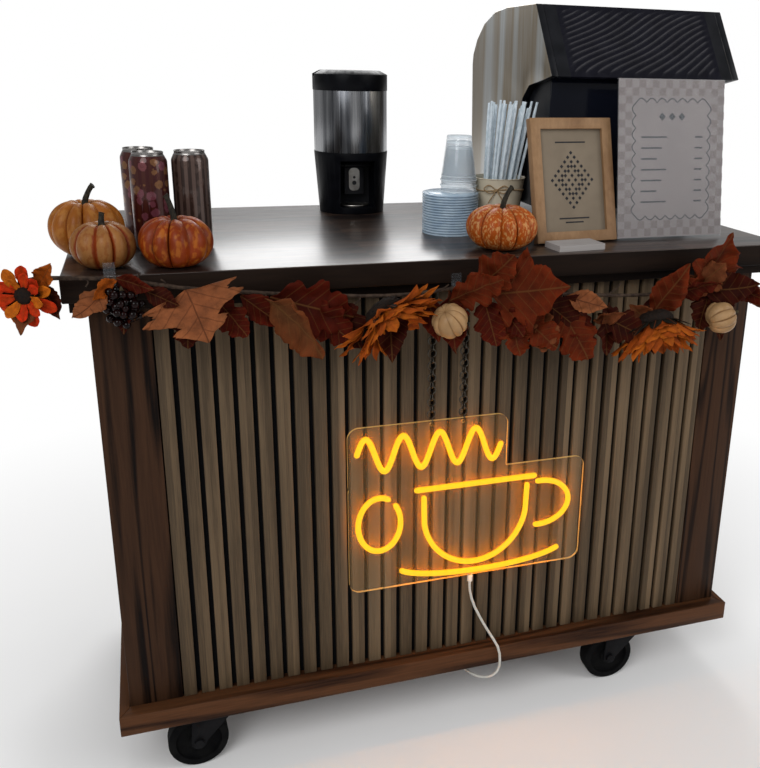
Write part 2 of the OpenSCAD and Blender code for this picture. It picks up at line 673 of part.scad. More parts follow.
// Drink cans, from the counter's front left corner in shares of a can's width
can_shares = [[2.267, 3.00], [3.371, 3.328], [2.034, 4.224]];
can_foot_share = 0.76;
can_neck_share = 0.82;
can_slope_h = 9;
can_rim_h = 4;

module drink_cans() color([0.80, 0.80, 0.82])
  for (c = can_shares) translate([gear_x + c[0] * can_d, gear_y + c[1] * can_d, work_z]) rotate_extrude()
    polygon([[0, 0], [can_foot_share * can_d / 2, 0], [can_d / 2, can_slope_h],
      [can_d / 2, can_h - can_slope_h - can_rim_h],
      [can_neck_share * can_d / 2, can_h - can_rim_h], [can_neck_share * can_d / 2, can_h], [0, can_h]]);

// Stack of lids, and the inverted clear cups on it
lid_x = 43;
lid_y = -67;
lid_count = 16;
lid_pitch = 4.7;
lid_wall = 1;
lid_step_share = 0.90;
lid_rim_h = 3;
cup_d = 66;
cup_top_d = 44;
cup_h = 80;
cup_wall = 0.8;
cup_pitch = 10;
cup_count = 3;
cup_x = 59;
cup_y = -64;
stack_z = work_z + lid_count * lid_pitch - gap;

module lid_stack() color([0.62, 0.72, 0.80, 0.6])
  for (i = [0 : lid_count - 1]) translate([lid_x, lid_y, work_z + i * lid_pitch]) rotate_extrude()
    polygon([[0, lid_pitch - gap - lid_wall],
      [lid_step_share * lid_d / 2 - lid_wall, lid_pitch - gap - lid_wall],
      [lid_step_share * lid_d / 2 - lid_wall, 0], [lid_d / 2, 0], [lid_d / 2, lid_rim_h],
      [lid_step_share * lid_d / 2, lid_rim_h], [lid_step_share * lid_d / 2, lid_pitch - gap],
        [0, lid_pitch - gap]]);

module cup_stack() color([0.80, 0.88, 0.93, 0.5])
  for (i = [0 : cup_count - 1]) translate([cup_x, cup_y, stack_z + i * cup_pitch]) rotate_extrude()
    polygon([[cup_d / 2 - cup_wall, 0], [cup_d / 2 + cup_wall, 0], [cup_d / 2 + cup_wall, 2 * cup_wall],
      [cup_d / 2, 2 * cup_wall], [cup_top_d / 2, cup_h], [0, cup_h], [0, cup_h - cup_wall],
      [cup_top_d / 2 - cup_wall, cup_h - cup_wall]]);

// Straw pail and its straws
pail_x = 143;
pail_y = -50;
pail_h = 98;
pail_foot_share = 0.74;
pail_wall = 1.5;
pail_floor = 2;
straw_d = 6;
straw_l = 237;
straw_count = 18;
straw_foot_share = 0.2;
straw_lean = 5;
straw_tilt = 5;

module straw_pail() color([0.88, 0.84, 0.74])
  translate([pail_x, pail_y, work_z]) rotate_extrude()
    polygon([[0, 0], [pail_foot_share * pail_d / 2, 0], [pail_d / 2, pail_h],
      [pail_d / 2 - pail_wall, pail_h],
      [pail_foot_share * pail_d / 2 - pail_wall, pail_floor], [0, pail_floor]]);

// Each straw leans outward, and all of them lean to the customer's right
module straws() color([0.85, 0.92, 0.96, 0.6])
  for (i = [0 : straw_count - 1])
    let (out = [cos(360 * i / straw_count), sin(360 * i / straw_count)],
      way = straw_lean * out + straw_tilt * [1, 0], foot = straw_foot_share * pail_d * out)
      translate([pail_x + foot[0], pail_y + foot[1], work_z + pail_floor + straw_d * sin(norm(way)) / 2 + gap])
        rotate([0, norm(way), atan2(way[1], way[0])]) cylinder(d = straw_d, h = straw_l, $fn = 16);

// Payment frame: a leaning wood frame with a back board and a leg
frame_x = 149;
frame_y = -232;
frame_turn = 4;
frame_lean = 14;
frame_bar = 19;
frame_t = 16;
frame_board_t = 4;
frame_rebate = 5;
frame_leg_w = 50;
frame_leg_t = 4;
frame_leg_share = 0.72;
frame_leg_spread = 24;
frame_in = frame_bar - frame_rebate;
frame_fit = frame_in + gap;

module at_frame() translate([frame_x, frame_y, work_z + frame_t * sin(frame_lean)]) rotate(frame_turn)
  rotate([-frame_lean, 0, 0]) children();

module payment_frame() color([0.68, 0.52, 0.33]) {
  at_frame() difference() {
    cube([frame_w, frame_t, frame_h]);
    translate([frame_bar, -cut, frame_bar])
      cube([frame_w - 2 * frame_bar, frame_t + 2 * cut, frame_h - 2 * frame_bar]);
    translate([frame_in, frame_t - 2 * frame_board_t, frame_in])
      cube([frame_w - 2 * frame_in, 2 * frame_board_t + cut, frame_h - 2 * frame_in]);
  }
  at_frame() translate([frame_fit, frame_t - frame_board_t, frame_fit])
    cube([frame_w - 2 * frame_fit, frame_board_t, frame_h - 2 * frame_fit]);
  intersection() {
    at_frame() translate([frame_w / 2 - frame_leg_w / 2, frame_t, frame_leg_share * frame_h])
      rotate([frame_leg_spread, 0, 0]) translate([0, 0, -frame_h])
        cube([frame_leg_w, frame_leg_t, frame_h - frame_leg_t * sin(frame_leg_spread)]);
    box([frame_x - frame_w, frame_y - frame_h, work_z], [3 * frame_w, 3 * frame_h, 2 * frame_h]);
  }
}

// Menu stand: a clear holder on a foot, leaning back
menu_x = 310;
menu_y = -221;
menu_lean = 8;
menu_foot_d = 76;
menu_sheet_t = 2;
menu_gap = 1;
paper_t = 0.6;
menu_foot_t = 3;

module at_menu() translate([menu_x, menu_y, work_z + menu_foot_t]) rotate([-menu_lean, 0, 0]) children();

module menu_stand() color([0.90, 0.94, 0.96, 0.35])
  translate([menu_x, menu_y, work_z]) rotate([90, 0, 90]) linear_extrude(menu_w) {
    square([menu_foot_d, menu_foot_t]);
    translate([0, menu_foot_t]) rotate(-menu_lean) {
      square([2 * menu_sheet_t + menu_gap, menu_sheet_t]);
      for (y = [0, menu_sheet_t + menu_gap]) translate([y, 0]) square([menu_sheet_t, menu_h]);
    }
  }

// Printed cards: in the frame, in the stand, and a stack by the frame
card_x = 164;
card_y = -289;
card_w = 89;
card_d = 51;
card_h = 10;
card_turn = 5;

module printed_cards() color([0.93, 0.91, 0.86]) {
  at_frame() translate([frame_fit, frame_t - 2 * frame_board_t + gap, frame_fit])
    cube([frame_w - 2 * frame_fit, frame_board_t - 2 * gap, frame_h - 2 * frame_fit]);
  at_menu() translate([gap, menu_sheet_t + (menu_gap - paper_t) / 2, menu_sheet_t + gap])
    cube([menu_w - 2 * gap, paper_t, menu_h - menu_sheet_t - 2 * gap]);
  translate([card_x, card_y, work_z]) rotate(card_turn) cube([card_w, card_d, card_h]);
}

// Espresso machine: its place, its walls and its outlines as shares of depth and height
machine_x = 396;
machine_y = -134;
side_t = 14;
machine_wall = 6;
feet_share = 0.10;
foot_d = 42;
foot_in = 40;
hood_t = 6;
hood_low_share = 0.695;
hood_back_share = 0.203;
panel_t = 4;
panel_y_share = 0.082;
column_share = 0.50;
bay_low_share = 0.24;
bay_high_share = 0.62;
back_share = 0.97;
core_w = machine_w - 2 * side_t;
foot_z = feet_share * machine_h;
hood_shares = [[0, hood_low_share], [hood_back_share, 1]];
side_shares = concat(hood_shares, [[0.542, 1], [0.70, 0.985], [0.84, 0.935], [0.94, 0.86],
  [0.99, 0.79], [1, 0.74], [0.985, 0.44], [0.97, feet_share], [0.37, feet_share], [0.34, 0.13],
  [0.34, 0.50], [0.31, 0.59], [0.24, 0.65], [0.10, 0.675]]);
roof_shares = [[0.97, bay_high_share], [0.97, 0.78], [0.92, 0.85], [0.82, 0.92], [0.68, 0.965],
  [0.54, 0.98], [0.225, 0.98]];

// A point of the machine's side, and a solid of that outline across the machine
function side_point(p) = [p[0] * machine_d, p[1] * machine_h];
module across(x, w) translate([x, machine_y, work_z]) rotate([90, 0, 90]) linear_extrude(w) children();

hood_run = side_point(hood_shares[1]) - side_point(hood_shares[0]);
hood_way = hood_run / norm(hood_run);
hood_in = [hood_way[1], -hood_way[0]];
// Height of the hood's inner face at a depth, for what stands behind it
function behind_hood(y) = let (a = side_point(hood_shares[0]) + (hood_t + gap) * hood_in)
  a[1] + (y - a[0]) * hood_way[1] / hood_way[0];

tank_w = 190;
tank_h = 96;
tank_d = 130;
tank_z = foot_z + machine_wall;
tank_bay_h = tank_h + machine_wall;
boiler_d = 104;
boiler_l = 230;
boiler_z = tank_z + tank_bay_h + machine_wall;
boiler_foot = 12;
cavity_w = core_w - 2 * machine_wall;
panel_y = panel_y_share * machine_d;
column_y = column_share * machine_d;
cavity_d = column_y - panel_y - machine_wall;
tray_floor = 14;
tray_h = bay_low_share * machine_h - foot_z - tray_floor;
tray_w = 300;
tray_wall = 2;
tray_back = 8;
tray_d = back_share * machine_d - column_y - tray_back - gap;
knob_x = 120;
knob_share = 0.69;
knob_d = 38;
knob_l = 26;
knob_stem_d = 10;
knob_stem_l = 18;
knob_y = machine_y + back_share * machine_d;
knob_z = work_z + knob_share * machine_h;
wand_x = -130;
wand_y_share = 0.90;
wand_ball_r = 10;
wand_d = 9;
wand_l = 140;
wand_collar_d = 30;
wand_collar_h = 16;
wand_mouth_r = 8.5;
wand_ball_drop = 9;
bay_z = bay_high_share * machine_h;
core_x = machine_x - core_w / 2;

module machine_chassis() color([0.10, 0.11, 0.13])
  difference() {
    union() {
      across(core_x, core_w) polygon(concat([[panel_y, foot_z], [back_share * machine_d, foot_z],
          [back_share * machine_d, bay_low_share * machine_h], [column_y, bay_low_share * machine_h],
          [column_y, bay_z]],
        [for (p = roof_shares) side_point(p)], [[panel_y, behind_hood(panel_y) - gap]]));
      at_wand() translate([0, 0, wand_ball_drop - wand_collar_h])
        cylinder(d = wand_collar_d, h = wand_collar_h);
    }
    box([machine_x - cavity_w / 2, machine_y + panel_y - cut, work_z + tank_z],
      [cavity_w, cavity_d + cut, tank_bay_h]);
    box([machine_x - cavity_w / 2, machine_y + panel_y - cut, work_z + boiler_z],
      [cavity_w, cavity_d + cut, hood_low_share * machine_h - boiler_z]);
    box([machine_x - tray_w / 2 - gap, machine_y + column_y + tray_back, work_z + foot_z + tray_floor],
      [tray_w + 2 * gap, machine_d, tray_h + cut]);
    for (s = [-1, 1]) translate([machine_x + s * knob_x, knob_y + cut, knob_z]) rotate([90, 0, 0])
      cylinder(d = knob_stem_d + 2 * run_gap, h = knob_stem_l + gap + cut);
    at_wand() {
      sphere(r = wand_ball_r + run_gap);
      translate([0, 0, -wand_collar_h]) cylinder(r = wand_mouth_r, h = wand_collar_h);
    }
  }

module at_wand()
  translate([machine_x + wand_x, machine_y + wand_y_share * machine_d, work_z + bay_z - wand_ball_drop])
    children();

module machine_side_panels() color([0.72, 0.69, 0.63])
  for (x = [machine_x - machine_w / 2, machine_x + machine_w / 2 - side_t])
    across(x, side_t) polygon([for (p = side_shares) side_point(p)]);

module machine_hood() color([0.20, 0.21, 0.24])
  across(core_x, core_w) polygon([side_point(hood_shares[0]), side_point(hood_shares[1]),
    side_point(hood_shares[1]) + hood_t * hood_in, side_point(hood_shares[0]) + hood_t * hood_in]);

module machine_back_panel() color([0.06, 0.07, 0.10])
  box([core_x, machine_y + panel_y - panel_t, work_z + foot_z],
    [core_w, panel_t, (hood_low_share - feet_share) * machine_h]);

module machine_feet() color([0.15, 0.15, 0.16])
  for (x = [-1, 1], y = [panel_y + foot_in, back_share * machine_d - foot_in])
    translate([machine_x + x * (core_w / 2 - foot_in), machine_y + y, work_z])
      cylinder(d = foot_d, h = foot_z);

module machine_boiler() color([0.75, 0.48, 0.30])
  translate([machine_x, machine_y + panel_y + cavity_d / 2, work_z + boiler_z]) {
    translate([-boiler_l / 2, 0, boiler_foot + boiler_d / 2]) rotate([0, 90, 0])
      cylinder(d = boiler_d, h = boiler_l);
    for (s = [-1, 1]) box([s * boiler_l / 4 - boiler_foot / 2, -boiler_d / 4, 0],
      [boiler_foot, boiler_d / 2, boiler_foot + boiler_d / 4]);
  }

module machine_water_tank() color([0.80, 0.85, 0.88])
  box([machine_x - tank_w / 2, machine_y + panel_y + machine_wall, work_z + tank_z],
    [tank_w, tank_d, tank_h]);

// Group head, and the portafilter locked under it
group_y_share = 0.75;
group_d = 74;
group_h = 40;
group_lip_d = 66;
group_lip_h = 14;
basket_d = 62;
basket_h = 24;
spout_d = 16;
spout_h = 20;
grip_d = 28;
grip_l = 120;
neck_d = 14;
neck_l = 26;

module at_group() translate([machine_x, machine_y + group_y_share * machine_d,
  work_z + bay_z - group_h - group_lip_h]) children();

module group_head() color([0.78, 0.78, 0.78]) at_group() {
  translate([0, 0, group_lip_h]) cylinder(d = group_d, h = group_h);
  cylinder(d = group_lip_d, h = group_lip_h);
}

module portafilter() color([0.15, 0.13, 0.12]) at_group() translate([0, 0, -gap - basket_h]) {
  cylinder(d = basket_d, h = basket_h);
  translate([0, 0, -spout_h]) cylinder(d = spout_d, h = spout_h);
  translate([0, 0, basket_h / 2]) rotate([-90, 0, 0]) {
    cylinder(d = neck_d, h = basket_d / 2 + neck_l);
    translate([0, 0, basket_d / 2 + neck_l]) cylinder(d = grip_d, h = grip_l);
  }
}

module drip_tray() color([0.65, 0.65, 0.66])
  translate([machine_x - tray_w / 2, machine_y + column_y + tray_back + gap, work_z + foot_z + tray_floor + gap])
    difference() {
      cube([tray_w, tray_d, tray_h - gap]);
      translate([tray_wall, tray_wall, tray_wall])
        cube([tray_w - 2 * tray_wall, tray_d - 2 * tray_wall, tray_h]);
    }

module steam_wand() color([0.80, 0.80, 0.80]) at_wand() {
  sphere(r = wand_ball_r);
  translate([0, 0, -wand_l]) cylinder(d = wand_d, h = wand_l);
}

module knob(x) translate([machine_x + x, knob_y, knob_z]) rotate([-90, 0, 0]) {
  translate([0, 0, gap]) cylinder(d = knob_d, h = knob_l);
  translate([0, 0, -knob_stem_l]) cylinder(d = knob_stem_d, h = knob_stem_l + gap);
}

module steam_knob() color([0.08, 0.08, 0.08]) knob(-knob_x);
module water_knob() color([0.08, 0.08, 0.08]) knob(knob_x);

// Coffee brewer: base with a cup bay, steel tank, hinged lid and dispensing lever
brewer_x = -78;
brewer_y = 225;
brewer_r = brewer_d / 2;
brewer_foot_share = 0.88;
bay_w = 70;
bay_back = 10;
bay_floor = 14;
bay_roof = 16;
lever_in = 26;
lever_drop = 12;
lever_barrel_r = 5;
lever_pin_r = 3;
lever_pin_out = 8;
lever_l = 58;
lever_w = 40;
lever_t = 3;
tank_wall = 3;
tank_in = 1;
tank_r = brewer_d / 2 - tank_in;
ear_w = 9;
ear_gap = 26;
ear_h = 20;
pin_d = 6;
knuckle_r = 6;
lid_dome_share = 0.80;
notch_r = 14;
brewer_tank_z = work_z + brewer_base_h;
brewer_lid_z = brewer_tank_z + brewer_tank_h;
hinge_y = brewer_r + knuckle_r;
hinge_z = brewer_lid_z + knuckle_r;

module at_brewer(z) translate([brewer_x, brewer_y, z]) children();

// A round bar along X about the point (y, z)
module long_bar(y, z, d, len) translate([0, y, z]) rotate([0, 90, 0]) cylinder(d = d, h = len, center = true);

lever_y = -lever_in;
lever_z = brewer_base_h - bay_roof - lever_drop;

module brewer_base() color([0.07, 0.07, 0.08]) at_brewer(work_z) difference() {
  rotate_extrude() polygon([[0, 0], [brewer_foot_share * brewer_r, 0], [brewer_r, brewer_base_h],
    [0, brewer_base_h]]);
  box([-bay_w / 2, -brewer_d, bay_floor], [bay_w, brewer_d - bay_back, brewer_base_h - bay_floor - bay_roof]);
  long_bar(lever_y, lever_z, 2 * (lever_pin_r + run_gap), bay_w + 2 * lever_pin_out + 2 * gap);
}

module brewer_tank() color([0.72, 0.73, 0.74]) {
  difference() {
    union() {
      at_brewer(brewer_tank_z) cylinder(r = tank_r, h = brewer_tank_h);
      at_brewer(0) for (s = [-1, 1]) translate([s * (ear_gap + ear_w) / 2, 0, 0]) {
        long_bar(hinge_y, hinge_z, 2 * (knuckle_r - gap), ear_w);
        box([-ear_w / 2, tank_r - tank_wall, hinge_z - ear_h], [ear_w, hinge_y - tank_r + tank_wall, ear_h]);
      }
    }
    at_brewer(brewer_tank_z + tank_wall) cylinder(r = tank_r - tank_wall, h = brewer_tank_h);
    at_brewer(brewer_lid_z) cylinder(r = brewer_r + gap, h = brewer_lid_h);
    at_brewer(0) long_bar(hinge_y, hinge_z, pin_d + 2 * run_gap, ear_gap + 2 * ear_w + 2 * cut);
  }
  at_brewer(0) long_bar(hinge_y, hinge_z, pin_d, ear_gap + 2 * ear_w);
}

module brewer_lid() color([0.12, 0.13, 0.15]) at_brewer(0) difference() {
  union() {
    translate([0, 0, brewer_lid_z + gap]) rotate_extrude()
      polygon([[0, 0], [brewer_r, 0], [brewer_r, lid_dome_share * brewer_lid_h],
        [lid_dome_share * brewer_r, brewer_lid_h], [0, brewer_lid_h]]);
    long_bar(hinge_y, hinge_z, 2 * knuckle_r - gap, ear_gap - 2 * gap);
    box([-ear_gap / 2 + gap, brewer_r - knuckle_r, hinge_z - knuckle_r + gap],
      [ear_gap - 2 * gap, 2 * knuckle_r, knuckle_r]);
  }
  translate([-brewer_r, 0, brewer_lid_z + brewer_lid_h]) sphere(r = notch_r);
  long_bar(hinge_y, hinge_z, pin_d + 2 * run_gap, ear_gap);
}

module brewer_lever() color([0.80, 0.80, 0.76]) at_brewer(work_z) {
  long_bar(lever_y, lever_z, 2 * lever_pin_r, bay_w + 2 * lever_pin_out);
  long_bar(lever_y, lever_z, 2 * lever_barrel_r, lever_w);
  box([-lever_w / 2, lever_y - lever_t / 2, lever_z - lever_l], [lever_w, lever_t, lever_l]);
}

countertop();
sub_top();
front_stiles();
slat_backing();
slats();
base_deck();
base_moulding();
side_panels();
frame_timbers();
shelf();
caster_plates();
caster_bolts();
caster_fork_fl();
caster_fork_fr();
caster_fork_rl();
caster_fork_rr();
caster_wheel_fl();
caster_wheel_fr();
caster_wheel_rl();
caster_wheel_rr();
brake_pedal_rl();
brake_pedal_rr();
sign_hooks();
sign_chains();
sign_backing();
sign_tubes();
sign_cord();
cord_grommet();
power_strip();
garland_hooks();
garland_vine();
garland_leaves();
garland_flowers();
garland_fruits();
counter_pumpkins();
drink_cans();
cup_stack();
lid_stack();
straw_pail();
straws();
payment_frame();
menu_stand();
printed_cards();
machine_chassis();
machine_side_panels();
machine_back_panel();
machine_hood();
machine_feet();
machine_boiler();
machine_water_tank();
group_head();
portafilter();
drip_tray();
steam_wand();
steam_knob();
water_knob();
brewer_base();
brewer_tank();
brewer_lid();
brewer_lever();
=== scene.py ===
"""Coffee cart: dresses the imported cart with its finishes, garland, serving gear and machines."""

import json
import random
from math import atan2, cos, exp, hypot, pi, radians, sin, sqrt

import bmesh
import bpy
from bpy.props import FloatProperty, FloatVectorProperty, IntProperty, PointerProperty
from mathutils import Matrix, Vector, noise
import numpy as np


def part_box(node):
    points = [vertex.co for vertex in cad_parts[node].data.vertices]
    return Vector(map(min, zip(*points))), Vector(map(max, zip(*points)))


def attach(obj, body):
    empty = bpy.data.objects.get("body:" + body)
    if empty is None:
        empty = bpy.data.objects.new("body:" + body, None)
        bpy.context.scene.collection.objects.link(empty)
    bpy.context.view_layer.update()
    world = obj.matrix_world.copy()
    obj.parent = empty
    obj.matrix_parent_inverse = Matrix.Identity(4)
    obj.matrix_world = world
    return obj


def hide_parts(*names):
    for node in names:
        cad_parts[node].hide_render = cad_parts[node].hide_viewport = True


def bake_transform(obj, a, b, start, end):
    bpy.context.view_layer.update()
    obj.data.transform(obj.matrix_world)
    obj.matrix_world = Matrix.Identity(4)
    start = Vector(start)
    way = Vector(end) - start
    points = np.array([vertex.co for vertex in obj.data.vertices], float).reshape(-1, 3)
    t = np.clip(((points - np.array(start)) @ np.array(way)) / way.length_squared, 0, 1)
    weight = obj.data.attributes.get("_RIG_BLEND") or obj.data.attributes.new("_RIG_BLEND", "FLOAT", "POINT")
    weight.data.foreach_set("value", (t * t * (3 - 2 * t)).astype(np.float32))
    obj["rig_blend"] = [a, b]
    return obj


bl_info = {
    "name": "Coffee cart",
    "version": (1, 0, 0),
    "blender": (4, 5, 0),
    "location": "3D View > Sidebar > Cart",
    "description": "Builds the looks of a coffee cart around its packed solids",
    "category": "Object",
}

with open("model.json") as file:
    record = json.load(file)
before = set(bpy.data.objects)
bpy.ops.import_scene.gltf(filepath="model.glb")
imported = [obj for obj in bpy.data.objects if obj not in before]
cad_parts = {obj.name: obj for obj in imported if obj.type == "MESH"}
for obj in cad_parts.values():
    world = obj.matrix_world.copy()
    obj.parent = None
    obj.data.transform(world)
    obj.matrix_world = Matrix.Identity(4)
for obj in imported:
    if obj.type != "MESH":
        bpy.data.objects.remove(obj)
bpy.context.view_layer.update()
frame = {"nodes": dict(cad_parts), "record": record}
BODY_OF = {node: body for body, nodes in frame["record"]["behaviour"]["bodies"].items() for node in nodes}
UP = Vector((0, 0, 1))

# Edges that bend more than this many degrees are sharp
SHARP = 35

# Points closer than this are one point, in metres
MERGE = 2e-6
BLADE_MERGE = 1e-5

# Turn in radians that spreads points evenly over a disc or a ball
EVEN_TURN = 2.39996

# Values between which most of a noise lies
NOISE_SPAN = (0.3, 0.7)


def colour(name, description, default):
    """A colour that a user can change."""
    return FloatVectorProperty(name=name, description=description, subtype="COLOR", size=3, min=0, max=1,
                               default=default)


def length(name, description, default):
    """A length in metres that a user can change."""
    return FloatProperty(name=name, description=description, default=default, min=0, unit="LENGTH", precision=4)


def number(name, description, default, low, high):
    """A count that a user can change."""
    return IntProperty(name=name, description=description, default=default, min=low, max=high)


class CartColours(bpy.types.PropertyGroup):
    """Colours of the cart's finishes"""

    counter_dark: colour("Counter dark", "Dark grain of the counter", (0.012, 0.008, 0.007))
    counter_light: colour("Counter light", "Light grain of the counter", (0.055, 0.032, 0.022))
    stain_dark: colour("Stain dark", "Dark grain of the stained uprights", (0.0030, 0.0014, 0.0009))
    stain_light: colour("Stain light", "Light grain of the stained uprights", (0.044, 0.020, 0.0100))
    slat_dark: colour("Slat dark", "Dark grain of the slats", (0.052, 0.035, 0.020))
    slat_light: colour("Slat light", "Light grain of the slats", (0.150, 0.101, 0.058))
    base_dark: colour("Base dark", "Dark grain of the base", (0.0150, 0.0056, 0.0026))
    base_light: colour("Base light", "Light grain of the base", (0.084, 0.0340, 0.0140))
    timber_dark: colour("Timber dark", "Dark grain of the bare timber", (0.300, 0.180, 0.090))
    timber_light: colour("Timber light", "Light grain of the bare timber", (0.480, 0.330, 0.190))
    oak_dark: colour("Frame dark", "Dark grain of the small frame", (0.148, 0.074, 0.032))
    oak_light: colour("Frame light", "Light grain of the small frame", (0.262, 0.155, 0.080))
    sign_glow: colour("Sign glow", "The sign's tubes as they are seen", (1.0, 0.570, 0.014))
    sign_cast: colour("Sign cast", "Light that the tubes throw on what is near", (1.0, 0.340, 0.000))
    steel: colour("Steel", "Brushed side panels", (0.420, 0.400, 0.370))


class CartSizes(bpy.types.PropertyGroup):
    """Sizes of the cart's finished pieces"""

    edge_round: length("Edge round", "Rounding of the wooden edges", 0.0012)
    counter_round: length("Counter round", "Rounding of the counter's edges", 0.0025)
    tube_r: length("Tube radius", "Radius of the sign's tubes", 0.005)
    straw_count: number("Straws", "Number of straws in the pail", 30, 1, 60)
    petal_count: number("Petals", "Petals in one ring of a large flower", 17, 5, 40)


# Node trees

def add(tree, kind, sockets=None, **settings):
    """Adds a node, sets its settings, and gives each named socket a value or a link."""
    made = tree.nodes.new(kind)
    for key, value in settings.items():
        setattr(made, key, value)
    for key, value in (sockets or {}).items():
        socket = made.inputs[key]
        if isinstance(value, bpy.types.NodeSocket):
            tree.links.new(value, socket)
        else:
            socket.default_value = value
    return made


def maths(tree, operation, a, b=0.0):
    """The result of an operation on one or two values."""
    return add(tree, "ShaderNodeMath", {0: a, 1: b}, operation=operation).outputs[0]


def times(tree, a, b):
    """The product of two values."""
    return maths(tree, "MULTIPLY", a, b)


def plus(tree, a, b):
    """The sum of two values."""
    return maths(tree, "ADD", a, b)


def minus(tree, a, b):
    """The difference of two values."""
    return maths(tree, "SUBTRACT", a, b)


def vectors(tree, operation, a, b=None):
    """The result of an operation on one or two vectors, or on a vector and a scale."""
    sockets = {0: a}
    if b is not None:
        sockets["Scale" if operation == "SCALE" else 1] = b
    return add(tree, "ShaderNodeVectorMath", sockets, operation=operation).outputs[0]


def mixed(tree, factor, a, b):
    """A mix of two colours."""
    return add(tree, "ShaderNodeMix", {0: factor, 6: a, 7: b}, data_type="RGBA").outputs[2]


def ramp(tree, value, low, high, to_low=0.0, to_high=1.0):
    """A value moved from one range to another."""
    return add(tree, "ShaderNodeMapRange", {0: value, 1: low, 2: high, 3: to_low, 4: to_high}).outputs[0]


def speckle(tree, vector, scale, detail=3.0, rough=0.55):
    """Noise over the surface."""
    sockets = {"Vector": vector, "Scale": scale, "Detail": detail, "Roughness": rough}
    return add(tree, "ShaderNodeTexNoise", sockets).outputs["Fac"]


def carried(tree, name, output):
    """A value that the mesh carries."""
    return add(tree, "ShaderNodeAttribute", attribute_name=name).outputs[output]


def seen_by(tree, *kinds):
    """1 for the named kinds of rays, and 0 for the rest."""
    path = add(tree, "ShaderNodeLightPath").outputs
    seen = path[kinds[0]]
    for kind in kinds[1:]:
        seen = maths(tree, "MAXIMUM", seen, path[kind])
    return seen


def rgba(value):
    """A colour with full alpha."""
    return (*value[:3], 1.0)


def new_group(name, inputs):
    """A shader group with the given inputs, and colour, roughness and height outputs."""
    tree = bpy.data.node_groups.new(name, "ShaderNodeTree")
    for label, kind, value in (("Vector", "Vector", (0, 0, 0)), *inputs):
        socket = tree.interface.new_socket(name=label, in_out="INPUT", socket_type="NodeSocket" + kind)
        socket.default_value = value
    for label, kind in (("Color", "Color"), ("Roughness", "Float"), ("Height", "Float")):
        tree.interface.new_socket(name=label, in_out="OUTPUT", socket_type="NodeSocket" + kind)
    return tree, tree.nodes.new("NodeGroupInput").outputs, tree.nodes.new("NodeGroupOutput").inputs


def closed_group(tree, out, *results):
    """A group whose colour, roughness and height are linked to its outputs."""
    for label, result in zip(("Color", "Roughness", "Height"), results):
        tree.links.new(result, out[label])
    return tree


BLACK, WHITE = (0, 0, 0, 1), (1, 1, 1, 1)


def grain_group():
    """Boards of wood: each board has its own shade and its own rings, with fine fibres along it."""
    tree, given, out = new_group("Wood grain", [
        ("Board", "Vector", (100, 100, 100)), ("Stretch", "Vector", (30, 30, 3)), ("Dark", "Color", BLACK),
        ("Light", "Color", WHITE), ("Rings", "Float", 22.0), ("Shade", "Float", 0.25), ("Rough low", "Float", 0.35),
        ("Rough high", "Float", 0.6)])
    first_board, board_shift = (8.4, 8.4, 8.4), 40.0
    ring_share, fibre_share, ring_height = 0.45, 0.75, 0.4
    cell = vectors(tree, "DIVIDE", vectors(tree, "ADD", given["Vector"], first_board), given["Board"])
    chance = add(tree, "ShaderNodeTexWhiteNoise", {"Vector": vectors(tree, "FLOOR", cell)}).outputs
    drawn = vectors(tree, "MULTIPLY", given["Vector"], given["Stretch"])
    place = vectors(tree, "ADD", drawn, vectors(tree, "SCALE", chance["Color"], board_shift))
    field = speckle(tree, place, 0.35, 2.0)
    rings = ramp(tree, maths(tree, "SINE", times(tree, field, given["Rings"])), -1.0, 0.2)
    fibre = speckle(tree, place, 9.0, 4.0, 0.65)
    blend = plus(tree, times(tree, rings, ring_share), times(tree, fibre, fibre_share))
    shade = times(tree, minus(tree, chance["Value"], 0.5), given["Shade"])
    blend = ramp(tree, plus(tree, blend, shade), 0.32, 0.96)
    return closed_group(tree, out, mixed(tree, blend, given["Dark"], given["Light"]),
                        ramp(tree, fibre, *NOISE_SPAN, given["Rough low"], given["Rough high"]),
                        plus(tree, fibre, times(tree, rings, ring_height)))


def mottle_group():
    """Cloudy two-tone colour with fine grit, for plastic, rubber, enamel, paper and metal."""
    tree, given, out = new_group("Mottle", [
        ("First", "Color", BLACK), ("Second", "Color", WHITE), ("Scale", "Float", 20.0), ("Grit", "Float", 600.0),
        ("Rough low", "Float", 0.35), ("Rough high", "Float", 0.5)])
    cloud = speckle(tree, given["Vector"], given["Scale"], 4.0, 0.5)
    grit = speckle(tree, given["Vector"], given["Grit"], 2.0, 0.5)
    return closed_group(tree, out, mixed(tree, ramp(tree, cloud, 0.35, 0.65), given["First"], given["Second"]),
                        ramp(tree, cloud, *NOISE_SPAN, given["Rough low"], given["Rough high"]), grit)


